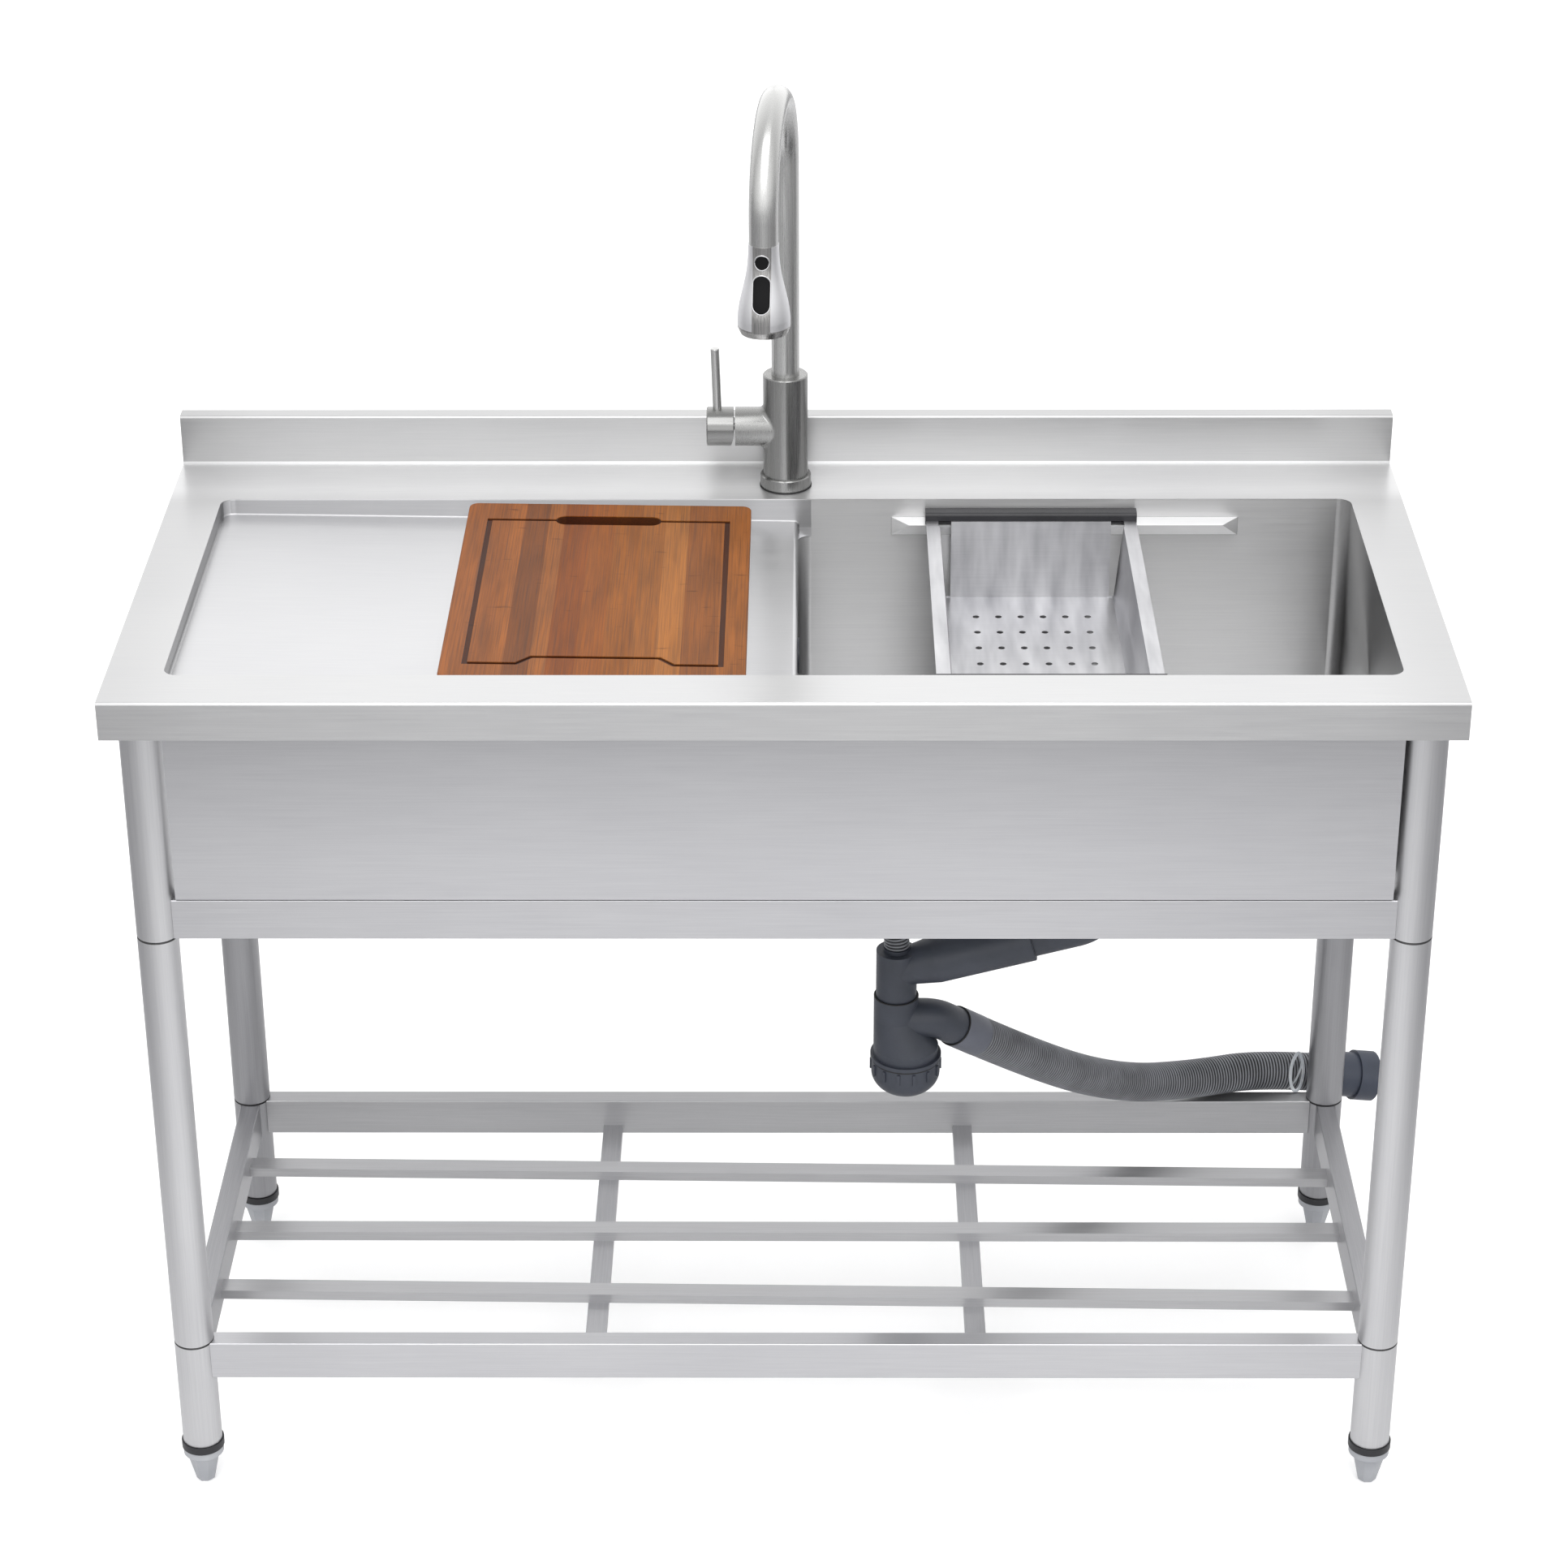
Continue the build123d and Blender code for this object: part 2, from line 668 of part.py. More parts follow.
# Cutting board: lies on the sloping floor, with a juice groove and a blind grip slot
board_x = bowl_left - board_from_bowl - board_width / 2
board_length = opening_depth - 2 * board_end_gap
board_floor = deck_height - drainboard_depth_left - (board_x - opening_left) * drainboard_fall
board_plane = Plane((board_x, opening_mid_y, board_floor), x_dir=(1, 0, -drainboard_fall),
                    z_dir=(drainboard_fall, 0, 1))
with BuildPart() as cutting_board:
    with BuildSketch(board_plane.offset(board_rest_gap)):
        RectangleRounded(board_width, board_length, board_corner)
    extrude(amount=board_thickness)
    fillet(cutting_board.edges().filter_by(GeomType.LINE).filter_by(Axis.Y), board_edge)
    groove_left = -board_width / 2 + groove_inset_side
    groove_right = board_width / 2 - groove_inset_side
    groove_back = board_length / 2 - groove_inset_back
    groove_front = -board_length / 2 + groove_inset_front
    step_left = groove_left + groove_step_from_left
    step_right = groove_right - groove_step_from_right
    with BuildSketch(board_plane.offset(board_rest_gap + board_thickness)):
        with BuildLine():
            Polyline((groove_left, groove_back), (groove_left, groove_front), (step_left, groove_front),
                     (step_left + groove_step_run, groove_front + groove_step),
                     (step_right - groove_step_run, groove_front + groove_step), (step_right, groove_front),
                     (groove_right, groove_front), (groove_right, groove_back), close=True)
        make_face()
        offset(amount=-groove_width, kind=Kind.INTERSECTION, mode=Mode.SUBTRACT)
    extrude(amount=-groove_depth, mode=Mode.SUBTRACT)
    with BuildSketch(board_plane.offset(board_rest_gap + board_thickness)):
        with Locations((0, groove_back - groove_width / 2)):
            SlotOverall(handle_length, handle_width)
    extrude(amount=-handle_depth, mode=Mode.SUBTRACT)
cutting_board.part.label = "cutting_board"
export_step(cutting_board.part, "parts/cutting_board.step")

# Colander: a folded basket with open corners, side flanges and a perforated floor
colander_x = bowl_left + colander_from_bowl_left
basket_top = deck_height - basket_top_drop
basket_bottom = basket_top - basket_depth
basket_flare = basket_depth * math.tan(math.radians(basket_taper))
basket_length = opening_depth - 2 * (grip_end_gap + slip_clearance + grip_depth + basket_flare)
basket_top_half_x = basket_width / 2 + basket_flare
basket_top_half_y = basket_length / 2 + basket_flare
with BuildPart() as colander_basket:
    with BuildSketch(Plane.XY.offset(basket_bottom)):
        with Locations((colander_x, opening_mid_y)):
            Rectangle(basket_width, basket_length)
    extrude(amount=basket_depth, taper=-basket_taper)
    with BuildSketch(Plane.XY.offset(basket_bottom + sheet)):
        with Locations((colander_x, opening_mid_y)):
            Rectangle(basket_width - 2 * sheet, basket_length - 2 * sheet)
    extrude(amount=basket_depth, taper=-basket_taper, mode=Mode.SUBTRACT)
    with BuildSketch(Plane.XY.offset(basket_top - sheet)):
        with Locations((colander_x, opening_mid_y)):
            Rectangle(2 * (basket_top_half_x + basket_flange), 2 * basket_top_half_y)
            Rectangle(2 * basket_top_half_x, 2 * (basket_top_half_y + grip_flange))
            Rectangle(2 * (basket_top_half_x - sheet), 2 * (basket_top_half_y - sheet), mode=Mode.SUBTRACT)
    extrude(amount=sheet)
    with BuildSketch(Plane.XY.offset(basket_bottom + 2 * sheet)):
        with Locations((colander_x, opening_mid_y)):
            with GridLocations(basket_width + basket_flare - sheet,
                               basket_length + basket_flare - sheet, 2, 2):
                Rectangle(basket_notch + basket_flare, basket_notch + basket_flare)
    extrude(amount=basket_depth, mode=Mode.SUBTRACT)
    with BuildSketch(Plane.XY.offset(basket_top - sheet)):
        with Locations((colander_x, opening_mid_y)):
            with GridLocations(2 * basket_top_half_x + basket_flange, 0, 2, 1):
                Rectangle(basket_flange, 2 * basket_top_half_y)
    extrude(amount=sheet)
    with BuildSketch(Plane.XY.offset(basket_bottom)):
        with Locations((colander_x, opening_mid_y)):
            with GridLocations(drip_pitch_x, drip_pitch_y, drip_columns, drip_rows):
                Circle(drip_hole_radius)
    extrude(amount=sheet, mode=Mode.SUBTRACT)
colander_basket.part.label = "colander_basket"
export_step(colander_basket.part, "parts/colander_basket.step")

# Black grips over the front and back flanges, resting on the bowl ledges
grip_bottom = deck_height - ledge_drop
grip_offset = basket_top_half_y + grip_depth / 2 + slip_clearance
with BuildPart() as colander_grips:
    with BuildSketch(Plane.XY.offset(grip_bottom)):
        with Locations((colander_x, opening_mid_y)):
            with GridLocations(0, 2 * grip_offset, 1, 2):
                Rectangle(grip_length, grip_depth)
    extrude(amount=grip_height)
    fillet(colander_grips.edges().filter_by(Axis.X), grip_radius)
    with BuildSketch(Plane.XY.offset(basket_top - sheet - slip_clearance)):
        with Locations((colander_x, opening_mid_y)):
            Rectangle(2 * basket_top_half_x + 2 * slip_clearance,
                      2 * (basket_top_half_y + grip_flange + slip_clearance))
    extrude(amount=sheet + 2 * slip_clearance, mode=Mode.SUBTRACT)
colander_grips.part.label = "colander_grips"
export_step(colander_grips.part, "parts/colander_grips.step")

# Rubber rings: under the tap, under the bowl floor and in the trap cap
bottle_x = trap_x - neck_radius + bottle_radius
neck_top = deck_height - neck_drop
shoulder_top = neck_top - neck_length
bottle_top = shoulder_top - shoulder_length
flange_top = bottle_top - bottle_length
flange_bottom = flange_top - bottle_flange
with BuildPart() as gaskets:
    with BuildSketch(Plane.XY.offset(deck_height)):
        with Locations((tap_x, tap_y)):
            Circle(tap_base_radius + tap_gasket_proud)
            Circle(tap_hole_radius, mode=Mode.SUBTRACT)
    extrude(amount=tap_gasket)
    with BuildSketch(Plane.XY.offset(bowl_under - drain_gasket)):
        with Locations((drain_x, trap_y)):
            Circle(cup_flange_radius)
            Circle(drain_hole_radius, mode=Mode.SUBTRACT)
    extrude(amount=drain_gasket)
    with BuildSketch(Plane.XY.offset(flange_bottom - trap_seal)):
        with Locations((bottle_x, trap_y)):
            Circle(trap_cap_radius)
            Circle(bottle_thread_radius + slip_clearance, mode=Mode.SUBTRACT)
    extrude(amount=trap_seal)
gaskets.part.label = "gaskets"
export_step(gaskets.part, "parts/gaskets.step")

# Tap base ring and the nut under the deck
with BuildPart() as tap_base:
    with BuildSketch(Plane.XY.offset(tap_base_bottom)):
        with Locations((tap_x, tap_y)):
            Circle(tap_base_radius)
            Circle(shank_radius + slip_clearance, mode=Mode.SUBTRACT)
    extrude(amount=tap_base_height)
    chamfer(tap_base.faces().sort_by(Axis.Z)[-1].outer_wire().edges(), tap_edge)
tap_base.part.label = "tap_base"
export_step(tap_base.part, "parts/tap_base.step")

with BuildPart() as tap_nut:
    with BuildSketch(Plane.XY.offset(deck_under - tap_nut_height)):
        with Locations((tap_x, tap_y)):
            RegularPolygon(tap_nut_radius, tap_nut_sides)
            Circle(shank_radius + slip_clearance, mode=Mode.SUBTRACT)
    extrude(amount=tap_nut_height)
tap_nut.part.label = "tap_nut"
export_step(tap_nut.part, "parts/tap_nut.step")

# Tap body: column, shank, side housing for the valve and the bore for the spout
lever_plane = Plane((tap_x, tap_y, lever_z), x_dir=(0, 1, 0), z_dir=(-1, 0, 0))
with BuildPart() as tap_body:
    with BuildSketch(Plane.XY.offset(tap_body_bottom)):
        with Locations((tap_x, tap_y)):
            Circle(tap_body_radius)
    extrude(amount=tap_body_height)
    chamfer(tap_body.faces().sort_by(Axis.Z)[-1].edges(), tap_edge)
    with BuildSketch(lever_plane):
        Circle(housing_radius)
    extrude(amount=housing_reach)
    junction = tap_body.edges().filter_by(lambda e: e.geom_type not in (GeomType.LINE, GeomType.CIRCLE))
    fillet(junction, housing_blend)
    with BuildSketch(Plane.XY.offset(tap_body_bottom)):
        with Locations((tap_x, tap_y)):
            Circle(shank_radius)
    extrude(amount=deck_under - shank_length - tap_body_bottom)
    with BuildSketch(Plane.XY.offset(tap_body_top)):
        with Locations((tap_x, tap_y)):
            Circle(spout_radius + running_clearance)
    extrude(amount=-spout_insert, mode=Mode.SUBTRACT)
    with BuildSketch(Plane.XY.offset(tap_body_top)):
        with Locations((tap_x, tap_y)):
            Circle(tap_bore_radius)
    extrude(amount=deck_under - shank_length - tap_body_top, mode=Mode.SUBTRACT)
    with BuildSketch(lever_plane.offset(housing_reach)):
        Circle(cartridge_radius + slip_clearance)
    extrude(amount=-cartridge_length - cartridge_inset, mode=Mode.SUBTRACT)
tap_body.part.label = "tap_body"
export_step(tap_body.part, "parts/tap_body.step")

# Valve cartridge, and the stem that turns in it and ends in a ball
cartridge_face = housing_reach - cartridge_inset
with BuildPart() as valve_cartridge:
    with BuildSketch(lever_plane.offset(cartridge_face)):
        Circle(cartridge_radius)
    extrude(amount=-cartridge_length)
    with BuildSketch(lever_plane.offset(cartridge_face)):
        Circle(stem_radius + running_clearance)
    extrude(amount=-stem_depth - slip_clearance, mode=Mode.SUBTRACT)
valve_cartridge.part.label = "valve_cartridge"
export_step(valve_cartridge.part, "parts/valve_cartridge.step")

ball_reach = housing_reach + ball_set_out
with BuildPart() as valve_stem:
    with BuildSketch(lever_plane.offset(cartridge_face)):
        Circle(stem_radius)
    extrude(amount=-stem_depth)
    with BuildSketch(lever_plane.offset(cartridge_face)):
        Circle(stem_neck_radius)
    extrude(amount=ball_reach - cartridge_face)
    with Locations(lever_plane.offset(ball_reach)):
        Sphere(ball_radius)
valve_stem.part.label = "valve_stem"
export_step(valve_stem.part, "parts/valve_stem.step")

# Lever cap: relieved under its back edge so that it can tip, with a socket for the ball
cap_back = housing_reach + cap_gap
rod_seat = (tap_x - housing_reach - rod_set_out, tap_y, lever_z + housing_radius - rod_seat_depth)
rod_heading = (-math.sin(math.radians(rod_lean)), 0, math.cos(math.radians(rod_lean)))
rod_plane = Plane(rod_seat, x_dir=(1, 0, 0), z_dir=rod_heading)
rod_length = rod_top_rise - housing_radius + rod_seat_depth
with BuildPart() as lever_cap:
    with BuildSketch(lever_plane.offset(cap_back)):
        Circle(housing_radius)
    extrude(amount=cap_length)
    chamfer(lever_cap.faces().sort_by(Axis.X)[0].edges(), tap_edge)
    relief_drop = housing_radius - cap_relief_start
    relief_depth = relief_drop * math.tan(math.radians(cap_relief_angle))
    with BuildSketch(Plane((0, tap_y, lever_z), x_dir=(1, 0, 0), z_dir=(0, -1, 0))):
        Polygon((tap_x - cap_back, -cap_relief_start), (tap_x - cap_back - relief_depth, -housing_radius),
                (tap_x - cap_back, -housing_radius), align=None)
    extrude(amount=housing_radius, both=True, mode=Mode.SUBTRACT)
    with Locations(lever_plane.offset(ball_reach)):
        Sphere(ball_radius + running_clearance, mode=Mode.SUBTRACT)
    with BuildSketch(lever_plane.offset(cap_back)):
        Circle(cap_mouth_radius)
    extrude(amount=ball_reach - cap_back, mode=Mode.SUBTRACT)
    with BuildSketch(rod_plane):
        Circle(rod_radius + running_clearance)
    extrude(amount=rod_length, mode=Mode.SUBTRACT)
lever_cap.part.label = "lever_cap"
export_step(lever_cap.part, "parts/lever_cap.step")

with BuildPart() as lever_rod:
    with BuildSketch(rod_plane):
        Circle(rod_radius)
    extrude(amount=rod_length)
    fillet(lever_rod.faces().sort_by(Axis.Z)[-1].edges(), tap_edge)
lever_rod.part.label = "lever_rod"
export_step(lever_rod.part, "parts/lever_rod.step")

# Spout: riser, half-circle arch and a short straight tail
spout_heading = Vector(-math.sin(math.radians(spout_turn)), -math.cos(math.radians(spout_turn)), 0)
spout_plane = Plane((tap_x, tap_y, 0), x_dir=spout_heading, z_dir=spout_heading.cross(Vector(0, 0, 1)))
spout_bottom = tap_body_top - spout_insert
spout_reach = 2 * spout_arch_radius
head_axis_x = tap_x + spout_reach * spout_heading.X
head_axis_y = tap_y + spout_reach * spout_heading.Y
with BuildPart() as spout:
    with BuildLine(spout_plane) as spout_path:
        Line((0, spout_bottom), (0, arch_z))
        ThreePointArc((0, arch_z), (spout_arch_radius, arch_z + spout_arch_radius), (spout_reach, arch_z))
        Line((spout_reach, arch_z), (spout_reach, spout_end))
    with BuildSketch(Plane((tap_x, tap_y, spout_bottom))):
        Circle(spout_radius)
        Circle(spout_bore_radius, mode=Mode.SUBTRACT)
    sweep(path=spout_path.wires()[0])
spout.part.label = "spout"
export_step(spout.part, "parts/spout.step")

# Spray hose: its straight end stands in the head's bore, the rest runs back through the spout and the deck
stub_end = spout_end - spray_hose_stub
with BuildPart() as spray_hose:
    with BuildLine(spout_plane) as spray_path:
        Line((spout_reach, stub_end), (spout_reach, arch_z))
        ThreePointArc((spout_reach, arch_z), (spout_arch_radius, arch_z + spout_arch_radius), (0, arch_z))
        Line((0, arch_z), (0, deck_under - shank_length - spray_hose_below))
    with BuildSketch(Plane((head_axis_x, head_axis_y, stub_end))):
        Circle(spray_hose_radius)
    sweep(path=spray_path.wires()[0])
spray_hose.part.label = "spray_hose"
export_step(spray_hose.part, "parts/spray_hose.step")


def head_form(extra: float) -> Part:
    """Flared outer form of the spray head, enlarged by extra all round."""
    head_plane = Plane((head_axis_x, head_axis_y, spout_end), x_dir=spout_heading,
                       z_dir=spout_heading.cross(Vector(0, 0, 1)))
    with BuildPart() as form:
        with BuildSketch(head_plane):
            with BuildLine():
                Polyline((head_face_radius + extra, -head_length), (0, -head_length), (0, 0),
                         (head_top_radius + extra, 0))
                Spline((head_top_radius + extra, 0), (head_mid_radius + extra, -head_mid_drop),
                       (head_wide_radius + extra, -head_wide_drop), tangents=((0, -1), (head_flare_end, -1)))
                Polyline((head_wide_radius + extra, -head_wide_drop),
                         (head_wide_radius + extra, -head_rim_drop),
                         (head_face_radius + extra, -head_length))
            make_face()
        revolve(axis=Axis((head_axis_x, head_axis_y, 0), (0, 0, 1)))
    return form.part


def button_plane(drop: float, reach: float) -> Plane:
    """Plane that faces out of the front of the spray head, below its top by drop."""
    start = Vector(head_axis_x, head_axis_y, spout_end - drop) + spout_heading * reach
    return Plane(start, x_dir=Vector(0, 0, 1), z_dir=spout_heading)


# Spray head: spigot in the spout, a bore round the hose, pockets for two buttons and for the nozzle
with BuildPart() as spray_head:
    add(head_form(0))
    with BuildSketch(Plane((head_axis_x, head_axis_y, spout_end))):
        Circle(spout_bore_radius - running_clearance)
    extrude(amount=head_spigot_length)
    with BuildSketch(button_plane(stream_button_drop, button_seat_radius)):
        Circle(stream_button_radius + button_clearance)
    extrude(amount=head_wide_radius, mode=Mode.SUBTRACT)
    with BuildSketch(button_plane(pause_button_drop, button_seat_radius)):
        SlotOverall(pause_button_length + 2 * button_clearance, pause_button_width + 2 * button_clearance)
    extrude(amount=head_wide_radius, mode=Mode.SUBTRACT)
    with BuildSketch(Plane((head_axis_x, head_axis_y, spout_end - head_length))):
        Circle(nozzle_radius + slip_clearance)
    extrude(amount=nozzle_pocket, mode=Mode.SUBTRACT)
    with BuildSketch(Plane((head_axis_x, head_axis_y, stub_end - head_bore_end))):
        Circle(spray_hose_radius + running_clearance)
    extrude(amount=spray_hose_stub + head_bore_end + head_spigot_length, mode=Mode.SUBTRACT)
spray_head.part.label = "spray_head"
export_step(spray_head.part, "parts/spray_head.step")

with BuildPart() as spray_nozzle:
    with BuildSketch(Plane((head_axis_x, head_axis_y, spout_end - head_length))):
        Circle(nozzle_radius)
    extrude(amount=nozzle_pocket)
    with BuildSketch(Plane((head_axis_x, head_axis_y, spout_end - head_length))):
        for ring_radius, ring_count in nub_rings:
            with PolarLocations(ring_radius, ring_count):
                Circle(nub_radius)
    extrude(amount=-nub_height)
spray_nozzle.part.label = "spray_nozzle"
export_step(spray_nozzle.part, "parts/spray_nozzle.step")

button_back = button_seat_radius + button_travel + button_clearance
with BuildPart() as stream_button:
    with BuildSketch(button_plane(stream_button_drop, button_back)):
        Circle(stream_button_radius)
    extrude(amount=head_wide_radius)
    add(head_form(button_proud), mode=Mode.INTERSECT)
stream_button.part.label = "stream_button"
export_step(stream_button.part, "parts/stream_button.step")

with BuildPart() as pause_button:
    with BuildSketch(button_plane(pause_button_drop, button_back)):
        SlotOverall(pause_button_length, pause_button_width)
    extrude(amount=head_wide_radius)
    add(head_form(button_proud), mode=Mode.INTERSECT)
pause_button.part.label = "pause_button"
export_step(pause_button.part, "parts/pause_button.step")

# Strainer: steel flange in the bowl floor, plastic cup under it and a lift-out basket
drain_axis = Axis((drain_x, trap_y, 0), (0, 0, 1))
drain_plane = Plane((drain_x, trap_y, 0), x_dir=(1, 0, 0), z_dir=(0, -1, 0))
skirt_bottom = bowl_floor - skirt_length
with BuildPart() as strainer_flange:
    with BuildSketch(drain_plane):
        with BuildLine():
            Polyline((flange_radius, bowl_floor),
                     (flange_radius - flange_thickness, bowl_floor + flange_thickness),
                     (skirt_radius - skirt_wall, bowl_floor + flange_thickness),
                     (skirt_radius - skirt_wall, skirt_bottom + skirt_wall),
                     (seat_radius, skirt_bottom + skirt_wall), (seat_radius, skirt_bottom),
                     (skirt_radius, skirt_bottom), (skirt_radius, bowl_floor), close=True)
        make_face()
    revolve(axis=drain_axis)
strainer_flange.part.label = "strainer_flange"
export_step(strainer_flange.part, "parts/strainer_flange.step")

cup_top = bowl_under - drain_gasket
cup_bottom = cup_top - cup_depth
cone_bottom = cup_bottom - cup_cone
spigot_bottom = cone_bottom - cup_spigot_length
with BuildPart() as strainer_cup:
    with BuildSketch(drain_plane):
        with BuildLine():
            Polyline((cup_flange_radius, cup_top), (cup_flange_radius, cup_top - cup_flange),
                     (cup_radius, cup_top - cup_flange), (cup_radius, cup_bottom),
                     (cup_spigot_radius, cone_bottom), (cup_spigot_radius, spigot_bottom),
                     (cup_spigot_radius - cup_wall, spigot_bottom),
                     (cup_spigot_radius - cup_wall, cone_bottom + cup_wall),
                     (cup_radius - cup_wall, cup_bottom + cup_wall), (cup_radius - cup_wall, cup_top),
                     close=True)
        make_face()
    revolve(axis=drain_axis)
strainer_cup.part.label = "strainer_cup"
export_step(strainer_cup.part, "parts/strainer_cup.step")

basket_seat = skirt_bottom + skirt_wall + board_rest_gap
with BuildPart() as strainer_basket:
    with BuildSketch(drain_plane):
        with BuildLine():
            Polyline((0, basket_seat), (basket_cup_radius, basket_seat), (basket_cup_radius, bowl_floor),
                     (basket_cup_radius - basket_cup_wall, bowl_floor),
                     (basket_cup_radius - basket_cup_wall, basket_seat + basket_cup_wall),
                     (knob_post_radius, basket_seat + basket_cup_wall), (knob_post_radius, bowl_floor),
                     (knob_radius, bowl_floor), (knob_radius, bowl_floor + knob_height),
                     (0, bowl_floor + knob_height), close=True)
        make_face()
    revolve(axis=drain_axis)
    with BuildSketch(Plane((drain_x, trap_y, basket_seat))):
        for ring_radius, ring_count in cup_hole_rings:
            with PolarLocations(ring_radius, ring_count):
                Circle(cup_hole_radius)
    extrude(amount=basket_cup_wall, mode=Mode.SUBTRACT)
strainer_basket.part.label = "strainer_basket"
export_step(strainer_basket.part, "parts/strainer_basket.step")

# Drain arm: socket under the strainer, elbow, tail pipe in a sloping sleeve and the upright trap inlet
trap_plane = Plane((0, trap_y, 0), x_dir=(1, 0, 0), z_dir=(0, -1, 0))
arm_inlet_z = deck_height - arm_inlet_drop
arm_corner_z = arm_inlet_z + arm_run * math.tan(math.radians(arm_slope))
arm_top = cone_bottom
inlet_top = deck_height - inlet_top_drop
inlet_bottom = deck_height - inlet_bottom_drop
overflow_collar_top = inlet_top + inlet_collar
arm_heading = Vector(math.cos(math.radians(arm_slope)), 0, math.sin(math.radians(arm_slope)))
sleeve_plane = Plane((trap_x, trap_y, arm_inlet_z), x_dir=(0, 1, 0), z_dir=arm_heading)
with BuildPart() as drain_arm:
    with BuildLine(trap_plane) as arm_path:
        FilletPolyline((drain_x, arm_top), (drain_x, arm_corner_z), (trap_x, arm_inlet_z),
                       radius=elbow_radius)
    with BuildSketch(Plane((drain_x, trap_y, arm_top))):
        Circle(tail_radius)
    sweep(path=arm_path.wires()[0])
    with BuildSketch(Plane((drain_x, trap_y, arm_top))):
        Circle(socket_radius)
    extrude(amount=-socket_length)
    with BuildSketch(sleeve_plane):
        Circle(branch_radius)
    with BuildSketch(sleeve_plane.offset(branch_length)):
        Circle(sleeve_radius)
    loft()
    with BuildSketch(sleeve_plane.offset(branch_length)):
        Circle(sleeve_radius)
    extrude(amount=sleeve_length - branch_length)
    sleeve_rims = drain_arm.edges().filter_by(GeomType.CIRCLE)
    sleeve_rims = sleeve_rims.filter_by(lambda e: abs(e.radius - sleeve_radius) < slip_clearance)
    chamfer(sleeve_rims.sort_by(Axis.X)[-1], sleeve_edge)
    with BuildSketch(Plane((trap_x, trap_y, inlet_bottom))):
        Circle(pipe_radius)
    extrude(amount=inlet_top - inlet_bottom)
    with BuildSketch(Plane((trap_x, trap_y, inlet_top))):
        Circle(overflow_body_radius)
    extrude(amount=inlet_collar)
    with BuildSketch(Plane((trap_x, trap_y, overflow_collar_top))):
        Circle(overflow_spigot_radius)
    extrude(amount=overflow_spigot_length)
    with BuildSketch(Plane((drain_x, trap_y, arm_top))):
        Circle(tail_radius - tail_wall)
    sweep(path=arm_path.wires()[0], mode=Mode.SUBTRACT)
    with BuildSketch(sleeve_plane.offset(branch_length)):
        Circle(sleeve_radius - pipe_wall)
    extrude(amount=sleeve_length - tail_insert - branch_length, mode=Mode.SUBTRACT)
    with BuildSketch(Plane((drain_x, trap_y, arm_top))):
        Circle(cup_spigot_radius + slip_clearance)
    extrude(amount=-cup_spigot_length, mode=Mode.SUBTRACT)
    with BuildSketch(Plane((trap_x, trap_y, inlet_bottom))):
        Circle(pipe_radius - pipe_wall)
    extrude(amount=inlet_top - pipe_wall - inlet_bottom, mode=Mode.SUBTRACT)
    with BuildSketch(Plane((trap_x, trap_y, inlet_top - 2 * pipe_wall))):
        Circle(overflow_spigot_radius - sheet)
    extrude(amount=2 * pipe_wall + inlet_collar + overflow_spigot_length, mode=Mode.SUBTRACT)
drain_arm.part.label = "drain_arm"
export_step(drain_arm.part, "parts/drain_arm.step")

# Bottle trap: neck, one-sided shoulder, threaded end and the outlet elbow
outlet_start = Vector(bottle_x, trap_y, deck_height - outlet_drop)
outlet_corner = outlet_start + Vector(outlet_run - (bottle_x - trap_x), 0, 0)
outlet_end = outlet_corner + Vector(*outlet_heading).normalized() * outlet_tail
outlet_spigot_plane = Plane(outlet_end, x_dir=Vector(0, 0, 1).cross(Vector(*outlet_heading)),
                            z_dir=Vector(*outlet_heading))


def bottle_form(skin: float) -> Part:
    """Outside of the bottle without its flange and outlet, moved in by skin."""
    with BuildPart() as form:
        with BuildSketch(Plane((trap_x, trap_y, shoulder_top))):
            Circle(neck_radius - skin)
        with BuildSketch(Plane((bottle_x, trap_y, bottle_top))):
            Circle(bottle_radius - skin)
        loft()
        with BuildSketch(Plane((bottle_x, trap_y, bottle_top))):
            Circle(bottle_radius - skin)
        extrude(amount=flange_bottom - bottle_top)
    return form.part


with BuildPart() as trap_bottle:
    add(bottle_form(0))
    with BuildSketch(Plane((trap_x, trap_y, shoulder_top))):
        Circle(neck_radius)
    extrude(amount=neck_length)
    with BuildSketch(Plane((bottle_x, trap_y, flange_bottom))):
        Circle(bottle_flange_radius)
    extrude(amount=bottle_flange)
    with BuildSketch(Plane((bottle_x, trap_y, flange_bottom))):
        Circle(bottle_thread_radius)
    extrude(amount=-bottle_thread)
    with BuildLine() as outlet_path:
        FilletPolyline(outlet_start, outlet_corner, outlet_end, radius=outlet_bend)
    with BuildSketch(Plane(outlet_start, x_dir=(0, 1, 0), z_dir=(1, 0, 0))):
        Circle(outlet_radius)
    sweep(path=outlet_path.wires()[0])
    with BuildSketch(outlet_spigot_plane):
        Circle(outlet_spigot_radius)
    extrude(amount=outlet_spigot_length)
    add(bottle_form(bottle_wall), mode=Mode.SUBTRACT)
    with BuildSketch(Plane((bottle_x, trap_y, flange_bottom - bottle_thread))):
        Circle(bottle_thread_radius - bottle_wall)
    extrude(amount=bottle_thread + bottle_flange, mode=Mode.SUBTRACT)
    with BuildSketch(Plane((trap_x, trap_y, neck_top))):
        Circle(pipe_radius + slip_clearance)
    extrude(amount=flange_top - neck_top, mode=Mode.SUBTRACT)
    with BuildSketch(Plane(outlet_start, x_dir=(0, 1, 0), z_dir=(1, 0, 0))):
        Circle(outlet_bore_radius)
    sweep(path=outlet_path.wires()[0], mode=Mode.SUBTRACT)
    with BuildSketch(outlet_spigot_plane):
        Circle(outlet_bore_radius)
    extrude(amount=outlet_spigot_length, mode=Mode.SUBTRACT)
